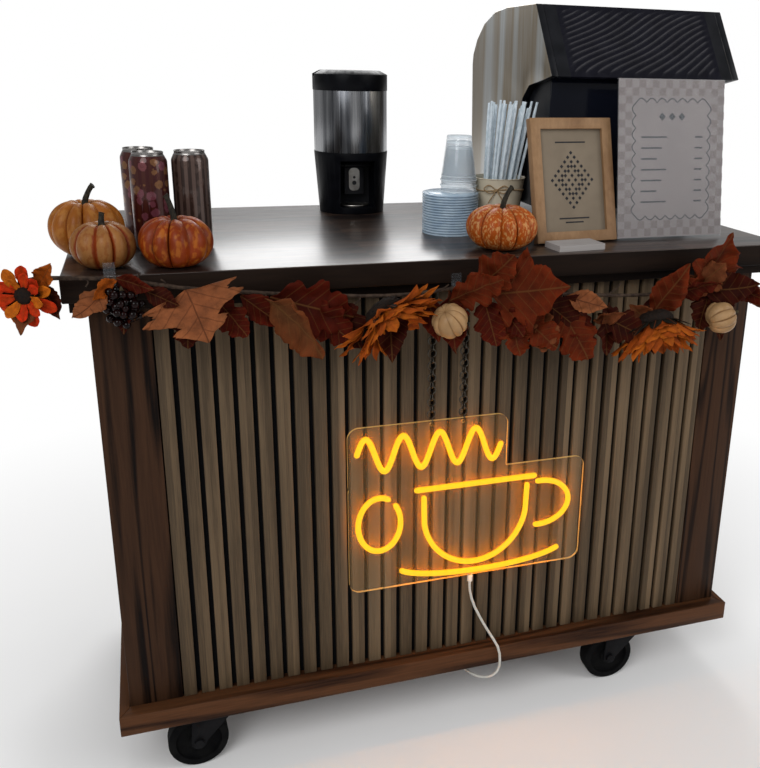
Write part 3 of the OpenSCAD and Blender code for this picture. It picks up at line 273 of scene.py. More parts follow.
def blade_group():
    """Dyed cloth of a leaf or petal: its own tint, with ribs, blotches and a fine weave."""
    tree, given, out = new_group("Blade cloth", [
        ("Rib", "Color", (0.3, 0.2, 0.1, 1)), ("Rib share", "Float", 0.5), ("Ribs", "Float", 8.0)])
    rib_slant, rib_height, blotch_share, weave_share = 0.8, 1.5, 0.8, 0.2
    place = carried(tree, "blade", "Vector")
    parts = add(tree, "ShaderNodeSeparateXYZ", {0: place}).outputs
    side = maths(tree, "ABSOLUTE", parts[0])
    middle = ramp(tree, side, 0.004, 0.016, 1.0, 0.0)
    slanted = minus(tree, parts[1], times(tree, side, rib_slant))
    line = maths(tree, "FRACT", times(tree, slanted, given["Ribs"]))
    line = ramp(tree, maths(tree, "ABSOLUTE", minus(tree, line, 0.5)), 0.42, 0.5, 0.0, 0.7)
    rib = maths(tree, "MAXIMUM", middle, line)
    blotch = speckle(tree, place, 5.0, 4.0)
    weave = speckle(tree, given["Vector"], 900.0, 2.0)
    light = plus(tree, times(tree, blotch, blotch_share), times(tree, weave, weave_share))
    dyed = vectors(tree, "SCALE", carried(tree, "tint", "Color"), ramp(tree, light, *NOISE_SPAN, 0.55, 1.35))
    return closed_group(tree, out, mixed(tree, times(tree, rib, given["Rib share"]), dyed, given["Rib"]),
                        ramp(tree, blotch, *NOISE_SPAN, 0.55, 0.75), plus(tree, times(tree, rib, rib_height), weave))


def rind_group():
    """Rind of a ribbed piece: stripes in its grooves and flecks on its lobes. On the machine's hood the groove layer
    marks raised ridge crests instead, and the stripe there is a painted highlight.
    """
    tree, given, out = new_group("Rind", [
        ("Base", "Color", BLACK), ("Fleck", "Color", WHITE), ("Stripe", "Color", WHITE), ("Flecks", "Float", 0.5),
        ("Scale", "Float", 90.0), ("Spread", "Float", 0.5)])
    fleck_draw, stripe_fray, stripe_blur = (1.0, 1.0, 0.55), 0.5, 0.25
    blotch = speckle(tree, vectors(tree, "MULTIPLY", given["Vector"], fleck_draw), given["Scale"], 4.0, 0.5)
    cloud = speckle(tree, given["Vector"], 28.0, 2.0)
    spots = times(tree, ramp(tree, blotch, 0.50, 0.60), given["Flecks"])
    skin = mixed(tree, spots, given["Base"], given["Fleck"])
    frayed = times(tree, minus(tree, blotch, 0.5), stripe_fray)
    edge = plus(tree, carried(tree, "groove", "Fac"), frayed)
    low = minus(tree, 1.0, given["Spread"])
    skin = mixed(tree, ramp(tree, edge, low, plus(tree, low, stripe_blur)), skin, given["Stripe"])
    return closed_group(tree, out, vectors(tree, "SCALE", skin, ramp(tree, cloud, *NOISE_SPAN, 0.8, 1.15)),
                        ramp(tree, blotch, *NOISE_SPAN, 0.34, 0.5),
                        plus(tree, blotch, speckle(tree, given["Vector"], 500.0)))


def print_group():
    """Printed can: blooms and dots of three colours over a ground, with soft upright bands."""
    tree, given, out = new_group("Can print", [
        ("Middle", "Vector", (0, 0, 0)), ("Ground", "Color", BLACK), ("First", "Color", WHITE),
        ("Second", "Color", WHITE), ("Blooms", "Float", 1.0), ("Bands", "Float", 0.3)])
    bands_round, bloom_scale, bloom_fray = 16.0, 58.0, 0.35
    local = vectors(tree, "SUBTRACT", given["Vector"], given["Middle"])
    parts = add(tree, "ShaderNodeSeparateXYZ", {0: local}).outputs
    angle = maths(tree, "ARCTAN2", parts[1], parts[0])
    band = ramp(tree, maths(tree, "SINE", times(tree, angle, bands_round)), -0.3, 0.3)
    ground = mixed(tree, times(tree, band, given["Bands"]), given["Ground"], given["Second"])
    cells = add(tree, "ShaderNodeTexVoronoi", {"Vector": local, "Scale": bloom_scale, "Randomness": 0.9}).outputs
    chance = add(tree, "ShaderNodeSeparateColor", {0: cells["Color"]}).outputs[0]
    wobble = times(tree, speckle(tree, local, 160.0), bloom_fray)
    bloom = ramp(tree, plus(tree, cells["Distance"], wobble), 0.56, 0.60, 1.0, 0.0)
    ink = mixed(tree, ramp(tree, chance, 0.48, 0.52), given["First"], given["Second"])
    return closed_group(tree, out, mixed(tree, times(tree, bloom, given["Blooms"]), ground, ink),
                        ramp(tree, cells["Distance"], 0.0, 0.6, 0.24, 0.36), speckle(tree, local, 700.0))


GROUP_MAKERS = {"Wood grain": grain_group, "Mottle": mottle_group, "Blade cloth": blade_group, "Rind": rind_group,
                "Can print": print_group}
GROUPS = {}


def finish(name, group, values, bump=0.1, depth=0.0005, gloss=0.15, **shader):
    """A material whose colour, roughness and bump come from a group, with its constants on the shader."""
    material = bpy.data.materials.new(name)
    material.use_nodes = True
    tree = material.node_tree
    surface = tree.nodes["Principled BSDF"].inputs
    if group not in GROUPS:
        GROUPS[group] = GROUP_MAKERS[group]()
    place = add(tree, "ShaderNodeTexCoord").outputs["Object"]
    made = add(tree, "ShaderNodeGroup", {"Vector": place, **values}, node_tree=GROUPS[group])
    relief = add(tree, "ShaderNodeBump", {"Strength": bump, "Distance": depth, "Height": made.outputs["Height"]})
    tree.links.new(made.outputs["Color"], surface["Base Color"])
    tree.links.new(made.outputs["Roughness"], surface["Roughness"])
    tree.links.new(relief.outputs[0], surface["Normal"])
    for key, value in {"Specular IOR Level": gloss, **shader}.items():
        surface[key.replace("_", " ")].default_value = value
    return material


def wood(name, dark, light, stretch, board=(100, 100, 100), rings=22.0, shade=0.25, rough=(0.4, 0.62), **shader):
    """A wooden finish, with its grain along the axis of the smallest stretch."""
    return finish(name, "Wood grain", {"Dark": rgba(dark), "Light": rgba(light), "Stretch": stretch, "Board": board,
                                       "Rings": rings, "Shade": shade, "Rough low": rough[0], "Rough high": rough[1]},
                  bump=0.18, depth=0.0004, **shader)


def cloudy(name, first, second=None, scale=20.0, grit=600.0, rough=(0.35, 0.5), bump=0.06, **shader):
    """A plain finish with slight clouds and grit."""
    second = second or tuple(min(1.0, c * 1.25 + 0.004) for c in first)
    return finish(name, "Mottle", {"First": rgba(first), "Second": rgba(second), "Scale": scale, "Grit": grit,
                                   "Rough low": rough[0], "Rough high": rough[1]}, bump=bump, **shader)


def cloth(name, rib, share, ribs, bump, depth, gloss):
    """The dyed cloth of leaves or petals."""
    return finish(name, "Blade cloth", {"Rib": rgba(rib), "Rib share": share, "Ribs": ribs}, bump=bump, depth=depth,
                  gloss=gloss)


def rind(name, base, fleck, stripe, flecks, scale, spread, gloss=0.15):
    """The skin of a ribbed piece."""
    return finish(name, "Rind", {"Base": rgba(base), "Fleck": rgba(fleck), "Stripe": rgba(stripe), "Flecks": flecks,
                                 "Scale": scale, "Spread": spread}, bump=0.18, depth=0.0008, gloss=gloss)


# Mesh tools

def settle(name, bm, material, nodes=(), body="cart"):
    """Turns a bmesh into a finished piece that rides on a body and may stand for CAD nodes."""
    mesh = bpy.data.meshes.new(name)
    bm.to_mesh(mesh)
    bm.free()
    mesh.polygons.foreach_set("use_smooth", [True] * len(mesh.polygons))
    mesh.set_sharp_from_angle(angle=radians(SHARP))
    piece = bpy.data.objects.new(name, mesh)
    bpy.context.scene.collection.objects.link(piece)
    for item in material if isinstance(material, list) else [material]:
        mesh.materials.append(item)
    if body:
        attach(piece, body)
    if nodes:
        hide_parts(*nodes)
    return piece


def copied(node):
    """A merged copy of a CAD node's mesh."""
    bm = bmesh.new()
    bm.from_mesh(frame["nodes"][node].data)
    bmesh.ops.remove_doubles(bm, verts=bm.verts, dist=MERGE)
    bmesh.ops.dissolve_limit(bm, angle_limit=radians(0.6), verts=bm.verts, edges=bm.edges)
    return bm


def sharp_edges(bm):
    """The edges between two faces that meet sharply."""
    return [e for e in bm.edges if len(e.link_faces) == 2 and e.calc_face_angle(0) > radians(SHARP)]


def rounded(bm, edges, width, segments=2):
    """Rounds edges, which take their neighbours' finish."""
    bmesh.ops.bevel(bm, geom=edges, offset=width, segments=segments, profile=0.5, affect="EDGES",
                    clamp_overlap=True, material=-1)


def softened(node, material, width, segments=2):
    """A copy of a CAD node with its sharp edges rounded, which stands for that node."""
    bm = copied(node)
    rounded(bm, sharp_edges(bm), width, segments)
    return settle(node + "_finished", bm, material, [node], BODY_OF[node])


def dressed(node, material):
    """A CAD node whose shape is right, with a better finish."""
    mesh = frame["nodes"][node].data
    mesh.materials.clear()
    mesh.materials.append(material)


def moved(place):
    """A move to a place."""
    return Matrix.Translation(place)


def tilted(degrees, axis):
    """A turn about an axis."""
    return Matrix.Rotation(radians(degrees), 4, axis)


def swept(bm, points, radii, sides=8):
    """A round bar along points, made by pushing its end face on from point to point."""
    points = [Vector(p) for p in points]
    ring = bmesh.ops.create_circle(bm, cap_ends=True, radius=1.0, segments=sides)["verts"]
    face = ring[0].link_faces[0]
    before = Matrix.Identity(4)
    grown = list(ring)
    turn = (points[1] - points[0]).to_track_quat("Z", "Y")
    for i, point in enumerate(points):
        along = (points[min(i + 1, len(points) - 1)] - points[max(i - 1, 0)]).normalized()
        turn = (turn @ UP).rotation_difference(along) @ turn
        radius = radii[i] if isinstance(radii, list) else radii
        after = moved(point) @ turn.to_matrix().to_4x4() @ Matrix.Diagonal((radius, radius, radius, 1))
        if i:
            pushed = bmesh.ops.extrude_face_region(bm, geom=[face])["geom"]
            face = next(g for g in pushed if isinstance(g, bmesh.types.BMFace))
            ring = list(face.verts)
            grown += ring
        bmesh.ops.transform(bm, matrix=after @ before.inverted(), verts=ring)
        before = after
    bmesh.ops.recalc_face_normals(bm, faces=list({f for v in grown for f in v.link_faces}))
    return grown


def block(bm, low, high, place=None):
    """A box between two corners, which may be moved to a place."""
    low, high = Vector(low), Vector(high)
    made = bmesh.ops.create_cube(bm, size=1.0)["verts"]
    bmesh.ops.transform(bm, verts=made, matrix=moved((low + high) / 2)
                        @ Matrix.Diagonal((*(high - low), 1)))
    if place:
        bmesh.ops.transform(bm, verts=made, matrix=place)


def across_table(table, value):
    """The second number of a table of pairs, read between its rows."""
    for (a, low), (b, high) in zip(table, table[1:]):
        if value <= b:
            break
    return low + (high - low) * (value - a) / (b - a)


def smooth_path(points, steps=5):
    """More points along a smooth curve through the given ones."""
    points = [Vector(p) for p in points]
    made = []
    for i in range(len(points) - 1):
        a, b, c, d = (points[min(max(i + k, 0), len(points) - 1)] for k in (-1, 0, 1, 2))
        for k in range(steps):
            t = k / steps
            made.append(0.5 * (2 * b + (c - a) * t + (2 * a - 5 * b + 4 * c - d) * t * t
                               + (3 * b - a - 3 * c + d) * t ** 3))
    return made + [points[-1]]


def blade_mesh():
    """An empty mesh with the layers that leaves and petals carry."""
    bm = bmesh.new()
    bm.verts.layers.float_color.new("tint")
    bm.verts.layers.float_vector.new("blade")
    return bm


# Depth of a leaf's teeth, its ripples across and along, their least share, and how its tint runs along and across
TOOTH, RIPPLES, LEAST_RIPPLE, TINT_RUN = 0.10, (6, 5), 0.3, (0.45, 0.5)


def blade(bm, outline, size, place, tints, curl=0.3, fold=0.2, wave=0.05, rows=30, columns=8, teeth=0, seed=0.0):
    """A leaf or petal: a grid drawn into the outline's width, folded at its rib and curled along its length."""
    tint, share = bm.verts.layers.float_color["tint"], bm.verts.layers.float_vector["blade"]
    curl = curl or 0.01
    inner, outer = (Vector(t) for t in tints)
    for v in bmesh.ops.create_grid(bm, x_segments=columns, y_segments=rows, size=0.5)["verts"]:
        along, side = v.co.y + 0.5, 2 * v.co.x
        across = side * across_table(outline, along) * (1 + TOOTH * abs(sin(pi * teeth * along)))
        turn = curl * along
        ripple = noise.noise((across * RIPPLES[0] + seed, along * RIPPLES[1], seed))
        lift = fold * abs(across) + wave * ripple * (LEAST_RIPPLE + abs(side))
        v[tint] = (*inner.lerp(outer, min(1.0, TINT_RUN[0] * along + TINT_RUN[1] * abs(side))), 1.0)
        v[share] = (across, along, seed)
        v.co = place @ (size * Vector((across, sin(turn) / curl - lift * sin(turn),
                                       (1 - cos(turn)) / curl + lift * cos(turn))))


def thicken(piece, thickness):
    """Gives a thin sheet its thickness."""
    shell = piece.modifiers.new("thickness", "SOLIDIFY")
    shell.thickness = thickness
    shell.offset = 0.0


class CartOperator:
    """What the cart's operators have in common."""

    bl_options = {"REGISTER", "UNDO"}

    @property
    def colours(self):
        return bpy.context.scene.cart_colours

    @property
    def sizes(self):
        return bpy.context.scene.cart_sizes


# Camera, light and floor

class CART_OT_stage(CartOperator, bpy.types.Operator):
    """Sets the camera at the photograph's angle, soft light and a pale floor"""

    bl_idname = "cart.stage"
    bl_label = "Stage"

    # The fitted camera: place, right, up and back, lens and shifts for a 760 x 768 picture
    place = (-0.4845, -1.6405, 1.2245)
    axes = ((0.94647, -0.32199, 0.02264), (0.07913, 0.29945, 0.95082), (-0.31293, -0.89814, 0.30891))
    lens = 42.13
    sensor = 36.0
    shifts = (-0.1006, -0.0348)

    # Name, place, width and power of each lamp, and the point that they face
    lamps = (("key", (-2.2, -3.0, 3.2), 2.6, 95), ("fill", (2.8, -2.2, 2.2), 2.4, 45),
             ("back", (0.3, 2.8, 3.0), 2.4, 70))
    middle = Vector((0, 0, 0.7))

    # Half the floor's width, and the distances between which it fades into the backdrop
    floor_half = 9.0
    fade = (0.75, 1.7)

    # The backdrop's strength as light and as it is seen
    sky_strengths = (0.42, 1.0)

    def execute(self, context):
        scene = context.scene
        scene.view_settings.view_transform = "Standard"
        data = bpy.data.cameras.new("camera")
        data.sensor_fit = "VERTICAL"
        data.sensor_height = self.sensor
        data.lens = self.lens
        data.shift_x, data.shift_y = self.shifts
        camera = bpy.data.objects.new("camera", data)
        turn = Matrix([Vector(a) for a in self.axes]).transposed().to_4x4()
        camera.matrix_world = moved(self.place) @ turn
        scene.collection.objects.link(camera)
        scene.camera = camera
        for name, at, size, power in self.lamps:
            light = bpy.data.lights.new(name, "AREA")
            light.shape = "DISK"
            light.size = size
            light.energy = power
            lamp = bpy.data.objects.new(name, light)
            lamp.location = at
            lamp.rotation_euler = (self.middle - Vector(at)).to_track_quat("-Z", "Y").to_euler()
            scene.collection.objects.link(lamp)
        self.sky(scene)
        self.floor()
        return {"FINISHED"}

    def sky(self, scene):
        """A white backdrop for the eye, and dimmer light for the rest."""
        world = bpy.data.worlds.new("studio")
        world.use_nodes = True
        tree = world.node_tree
        back = tree.nodes["Background"].inputs
        seen = seen_by(tree, "Is Camera Ray", "Is Transmission Ray")
        back["Color"].default_value = WHITE
        tree.links.new(ramp(tree, seen, 0, 1, *self.sky_strengths), back["Strength"])
        scene.world = world

    def floor(self):
        """A wide pale floor under the wheels."""
        pale = cloudy("pale floor", (0.86, 0.86, 0.86), (0.88, 0.88, 0.88), scale=1.5, rough=(0.7, 0.8))
        tree = pale.node_tree
        seen = seen_by(tree, "Is Camera Ray", "Is Transmission Ray", "Is Glossy Ray")
        place = add(tree, "ShaderNodeTexCoord").outputs["Object"]
        away = add(tree, "ShaderNodeVectorMath", {0: place}, operation="LENGTH").outputs["Value"]
        share = times(tree, seen, ramp(tree, away, *self.fade))
        white = add(tree, "ShaderNodeEmission", {"Color": WHITE, "Strength": 1.0}).outputs[0]
        both = add(tree, "ShaderNodeMixShader", {0: share, 1: tree.nodes["Principled BSDF"].outputs[0], 2: white})
        tree.links.new(both.outputs[0], tree.nodes["Material Output"].inputs["Surface"])
        bm = bmesh.new()
        bmesh.ops.create_grid(bm, x_segments=1, y_segments=1, size=self.floor_half)
        settle("floor", bm, pale, body=None)


class CART_OT_cord(CartOperator, bpy.types.Operator):
    """Hangs the sign's lead from the sign to the grommet under the base"""

    bl_idname = "cart.cord"
    bl_label = "Sign lead"

    # The lead's route in millimetres, as in the part's source
    route = ((30, -264, 310), (30, -264, 300), (31, -264, 288), (35, -264, 270), (42, -264, 250), (51, -265, 230),
             (60, -266, 212), (69, -271, 195), (77, -278, 181), (83, -286, 169), (86, -290, 155), (87, -291, 140),
             (86, -291, 126), (82, -290, 115), (75, -288, 107), (66, -284, 102), (56, -277, 99), (47, -268, 98),
             (39, -256, 98), (33, -242, 99), (29, -227, 101), (27, -212, 103), (26, -198, 104), (26, -188, 106),
             (26, -181, 110), (26, -177, 116), (26, -176, 124))
    diameter = 0.005

    def execute(self, context):
        path = [Vector(p) / 1000 for p in self.route]
        bm = bmesh.new()
        swept(bm, path, self.diameter / 2, 12)
        white = cloudy("lead white", (0.46, 0.45, 0.41), (0.54, 0.53, 0.49), scale=60, rough=(0.38, 0.5))
        lead = settle("sign_lead", bm, white, ["sign_cord"], None)
        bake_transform(lead, "sign", "cart", start=path[1], end=path[10])
        return {"FINISHED"}


# Woodwork and casters

class CART_OT_woodwork(CartOperator, bpy.types.Operator):
    """Finishes the counter, the slatted front, the base and the frame inside"""

    bl_idname = "cart.woodwork"
    bl_label = "Woodwork"

    # Faces of the base's side boards lie beyond the first, and within the second, of these distances
    side_board = (0.45, 0.15)

    def execute(self, context):
        c, edge = self.colours, self.sizes.edge_round
        counter = wood("dark counter", c.counter_dark, c.counter_light, (2.2, 26, 26), board=(0.55, 0.047, 10),
                       rings=40, shade=0.55, rough=(0.30, 0.44), Coat_Weight=0.7, Coat_Roughness=0.24)
        # A copy of the counter's wood at about a quarter of its brightness: partly the darker edge grain of the
        # counter's edges, and partly painted shade on its underside and on the sub-top under its overhang.
        under = wood("counter edge grain and painted shade", [v * 0.3 for v in c.counter_dark], [v * 0.25 for v in c.counter_light],
                     (2.2, 26, 26), rings=14, rough=(0.5, 0.65), gloss=0.04)
        stain = wood("stained upright", c.stain_dark, c.stain_light, (30, 30, 1.1), board=(0.4, 10, 10), rings=130,
                     shade=0.15, rough=(0.42, 0.6), gloss=0.08)
        oak = wood("slat oak", c.slat_dark, c.slat_light, (60, 60, 1.8), board=(0.030, 10, 10), rings=8, shade=0.14,
                   rough=(0.5, 0.68))
        base, ends = (wood(name, c.base_dark, c.base_light, stretch, rings=70, rough=(0.38, 0.55),
                           gloss=0.08)
                      for name, stretch in (("base wood", (1.6, 30, 30)), ("base wood ends", (30, 1.6, 30))))
        timber = wood("bare timber", c.timber_dark, c.timber_light, (14, 14, 3), rings=44, rough=(0.55, 0.7))
        ply = wood("shelf ply", c.timber_dark, c.timber_light, (1.5, 22, 22), rings=52, rough=(0.5, 0.66))
        felt = cloudy("black felt", (0.002, 0.002, 0.003), (0.005, 0.005, 0.006), scale=240, rough=(0.85, 0.95),
                      bump=0.3)
        board = softened("countertop", counter, self.sizes.counter_round, 3).data
        board.materials.append(under)
        # Faces that face up keep the counter's wood; the rest take the darker copy, with its painted shade.
        for face in board.polygons:
            face.material_index = 0 if face.normal.z > 0.5 else 1
        for node, material in (("sub_top", under), ("front_stiles", stain), ("side_panels", stain), ("slats", oak),
                               ("frame_timbers", timber), ("shelf", ply)):
            softened(node, material, edge)
        skirt = softened("base_moulding", base, edge).data
        skirt.materials.append(ends)
        beyond, within = self.side_board
        for face in skirt.polygons:
            face.material_index = 1 if abs(face.center.x) > beyond and abs(face.center.y) < within else 0
        dressed("base_deck", base)
        dressed("slat_backing", felt)
        return {"FINISHED"}


class CART_OT_casters(CartOperator, bpy.types.Operator):
    """Finishes the casters, their bolts and their brake pedals"""

    bl_idname = "cart.casters"
    bl_label = "Casters"

    def execute(self, context):
        metal_edge, pedal_edge = 0.0006, 0.001
        enamel = cloudy("caster enamel", (0.004, 0.004, 0.005), (0.009, 0.009, 0.010), rough=(0.3, 0.45),
                        gloss=0.06)
        rubber = cloudy("wheel rubber", (0.0030, 0.0030, 0.0035), (0.0070, 0.0070, 0.0070), scale=45,
                        rough=(0.6, 0.8), bump=0.2, gloss=0.04)
        pedal = cloudy("pedal plastic", (0.005, 0.005, 0.005), rough=(0.4, 0.55))
        zinc = cloudy("zinc bolts", (0.42, 0.42, 0.43), (0.52, 0.52, 0.52), scale=90, rough=(0.3, 0.45), Metallic=1.0)
        for corner in ("fl", "fr", "rl", "rr"):
            softened("caster_fork_" + corner, enamel, metal_edge)
            softened("caster_wheel_" + corner, rubber, metal_edge)
        for corner in ("rl", "rr"):
            softened("brake_pedal_" + corner, pedal, pedal_edge)
        softened("caster_plates", enamel, metal_edge)
        dressed("caster_bolts", zinc)
        return {"FINISHED"}


# The lit sign

class CART_OT_sign(CartOperator, bpy.types.Operator):
    """Builds the lit sign: its clear sheet with painted glow on its edges, its glowing tubes, chains and hooks"""

    bl_idname = "cart.sign"
    bl_label = "Lit sign"

    # The drawing's lower left corner, in the tubes' middle plane, and its width and height
    corner = Vector((-0.198, -0.272, 0.324))
    span = Vector((0.448, 0, 0.316))

    # Strength of the tubes as light and as they are seen
    strengths = (9.0, 1.05)

    # A tube's rounded end: distances from its tip and radii there, in radii of the tube
    tip = ((0.0, 0.45), (0.4, 0.85), (1.0, 1.0))
    tip_room = 1.3

    def at(self, across, up):
        """A point of the drawing from shares of its width and height."""
        return self.corner + Vector((across * self.span.x, 0, up * self.span.z))

    def arc(self, middle, radii, first, last, steps):
        """Points of an arc, with radii as shares of the drawing's width."""
        angles = [radians(first + (last - first) * i / steps) for i in range(steps + 1)]
        return [self.at(*middle) + self.span.x * Vector((radii[0] * cos(a), 0, radii[1] * sin(a)))
                for a in angles]

    def strokes(self):
        """The drawing: a steam wave, a cup with its rim and handle, a saucer and a bean."""
        wave = [self.at(0.03 + 0.59 * i / 96, 0.84 + 0.10 * sin(8 * pi * i / 96)) for i in range(97)]
        rim = [self.at(across, 0.60) for across in (0.26, 0.52, 0.78)]
        bowl = [self.at(0.30, 0.56)] + self.arc((0.52, 0.44), (0.22, 0.24), 190, 350, 30) + [self.at(0.74, 0.56)]
        handle = self.arc((0.80, 0.42), (0.13, 0.10), 100, -100, 28)
        saucer = self.arc((0.55, 0.14), (0.36, 0.07), 195, 345, 28)
        bean = self.arc((0.12, 0.42), (0.085, 0.115), 60, 405, 40)
        return wave, rim, bowl, handle, saucer, bean

    def tubes(self, light):
        """The drawing's strokes as round tubes."""
        bm = bmesh.new()
        r = self.sizes.tube_r
        swell = [share * r for out, share in self.tip]
        for path in self.strokes():
            first, last = (path[1] - path[0]).normalized(), (path[-2] - path[-1]).normalized()
            start = [path[0] + first * out * r for out, share in self.tip]
            end = [path[-1] + last * out * r for out, share in reversed(self.tip)]
            inner = [p for p in path if min((p - path[0]).length, (p - path[-1]).length) > self.tip_room * r]
            swept(bm, start + inner + end, swell + [r] * len(inner) + swell[::-1], 14)
        settle("sign_light_tubes", bm, light, ["sign_tubes"], "sign")

    def execute(self, context):
        glow, cast = rgba(self.colours.sign_glow), rgba(self.colours.sign_cast)
        light = cloudy("tube light", (0.22, 0.08, 0.006), (0.30, 0.12, 0.010), scale=120, rough=(0.25, 0.35),
                       Emission_Color=glow, Emission_Strength=self.strengths[1])
        tree = light.node_tree
        surface = tree.nodes["Principled BSDF"].inputs
        seen = seen_by(tree, "Is Camera Ray")
        tree.links.new(ramp(tree, seen, 0, 1, *self.strengths), surface["Emission Strength"])
        tree.links.new(mixed(tree, seen, cast, glow), surface["Emission Color"])
        self.tubes(light)
        clear = cloudy("clear sheet", (0.50, 0.30, 0.12), (0.58, 0.36, 0.16), scale=8, rough=(0.06, 0.10), bump=0.0,
                       Alpha=0.06)
        # The sheet's edge faces glow faintly amber. This is painted glow, standing for the tubes' light carried through
        # the sheet.
        rim = cloudy("sheet edge painted glow", (0.80, 0.50, 0.16), (0.90, 0.60, 0.22), scale=60, rough=(0.15, 0.25),
                     Emission_Color=(1.0, 0.50, 0.10, 1), Emission_Strength=0.14, Alpha=0.62)
        gland = cloudy("gland plastic", (0.55, 0.53, 0.48), (0.62, 0.60, 0.55), rough=(0.35, 0.45))
        bm = copied("sign_backing")
        for face in bm.faces:
            low = face.calc_center_median().z < self.corner.z - 0.001
            face.material_index = 2 if low else 0 if abs(face.normal.y) > 0.9 else 1
        settle("sign_clear_sheet", bm, [clear, rim, gland], ["sign_backing"], "sign")
        dark = cloudy("dark chain", (0.045, 0.040, 0.034), (0.085, 0.075, 0.060), scale=300, rough=(0.3, 0.45),
                      Metallic=1.0)
        dressed("sign_chains", dark)
        dressed("sign_hooks", dark)
        dressed("cord_grommet", cloudy("grommet rubber", (0.010, 0.010, 0.010), rough=(0.6, 0.8), bump=0.2))
        softened("power_strip", cloudy("strip plastic", (0.55, 0.55, 0.53), (0.62, 0.62, 0.60), scale=30), 0.0015)
        return {"FINISHED"}


# The garland

TOP_LOW, TOP_HIGH = (Vector(v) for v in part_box("countertop"))

# The vine's rise above the counter's top in shares of its thickness, at shares of its width
VINE_SHARES = ((-0.535, 0.02), (-0.520, 0.10), (-0.480, 0.05), (-0.445, -0.05), (-0.40, -0.30), (-0.36, -0.55),
               (-0.30, -0.80), (-0.24, -1.00), (-0.19, -1.15), (-0.12, -1.30), (-0.06, -1.25), (-0.02, -1.15),
               (0.03, -1.35), (0.10, -1.60), (0.17, -1.80), (0.23, -1.95), (0.28, -1.95), (0.33, -1.80),
               (0.36, -1.55), (0.40, -1.65), (0.43, -1.95))

# The vine's distance from the counter's edge
VINE_OUT = 0.013


def on_vine(share, forward=0.0, drop=0.0):
    """A point of the vine at a share of the counter's width, moved forward and down."""
    rise = across_table(VINE_SHARES, share) * (TOP_HIGH.z - TOP_LOW.z)
    return Vector((share * (TOP_HIGH.x - TOP_LOW.x), TOP_LOW.y - VINE_OUT - forward, TOP_HIGH.z + rise - drop))


def kept_forward(bm, room=0.004, flat=0.045, reach=0.090):
    """Keeps what hangs in front of the counter off its edge, and presses what stands far out back towards it."""
    for v in bm.verts:
        out = max(TOP_LOW.y - v.co.y, room)
        if out > flat:
            out = flat + (reach - flat) * (1 - exp((flat - out) / (reach - flat)))
        v.co.y = TOP_LOW.y - out


def hung(name, sheet, material, thickness, nodes=()):
    """Leaves or petals as one piece of cloth, kept off the counter."""
    kept_forward(sheet)
    bmesh.ops.remove_doubles(sheet, verts=sheet.verts, dist=BLADE_MERGE)
    thicken(settle(name, sheet, material, nodes), thickness)


# Colours at a leaf's rib and at its edge
TINTS = {
    "rust": ((0.044, 0.0080, 0.0024), (0.112, 0.0140, 0.0028)),
    "red": ((0.028, 0.0034, 0.0013), (0.062, 0.0056, 0.0017)),
    "dark": ((0.016, 0.0028, 0.0013), (0.034, 0.0040, 0.0015)),
    "tan": ((0.150, 0.046, 0.017), (0.215, 0.072, 0.026)),
    "orange": ((0.200, 0.038, 0.004), (0.290, 0.066, 0.006)),
    "olive": ((0.066, 0.027, 0.010), (0.120, 0.027, 0.007)),
    "brown": ((0.090, 0.026, 0.010), (0.126, 0.036, 0.013)),
}


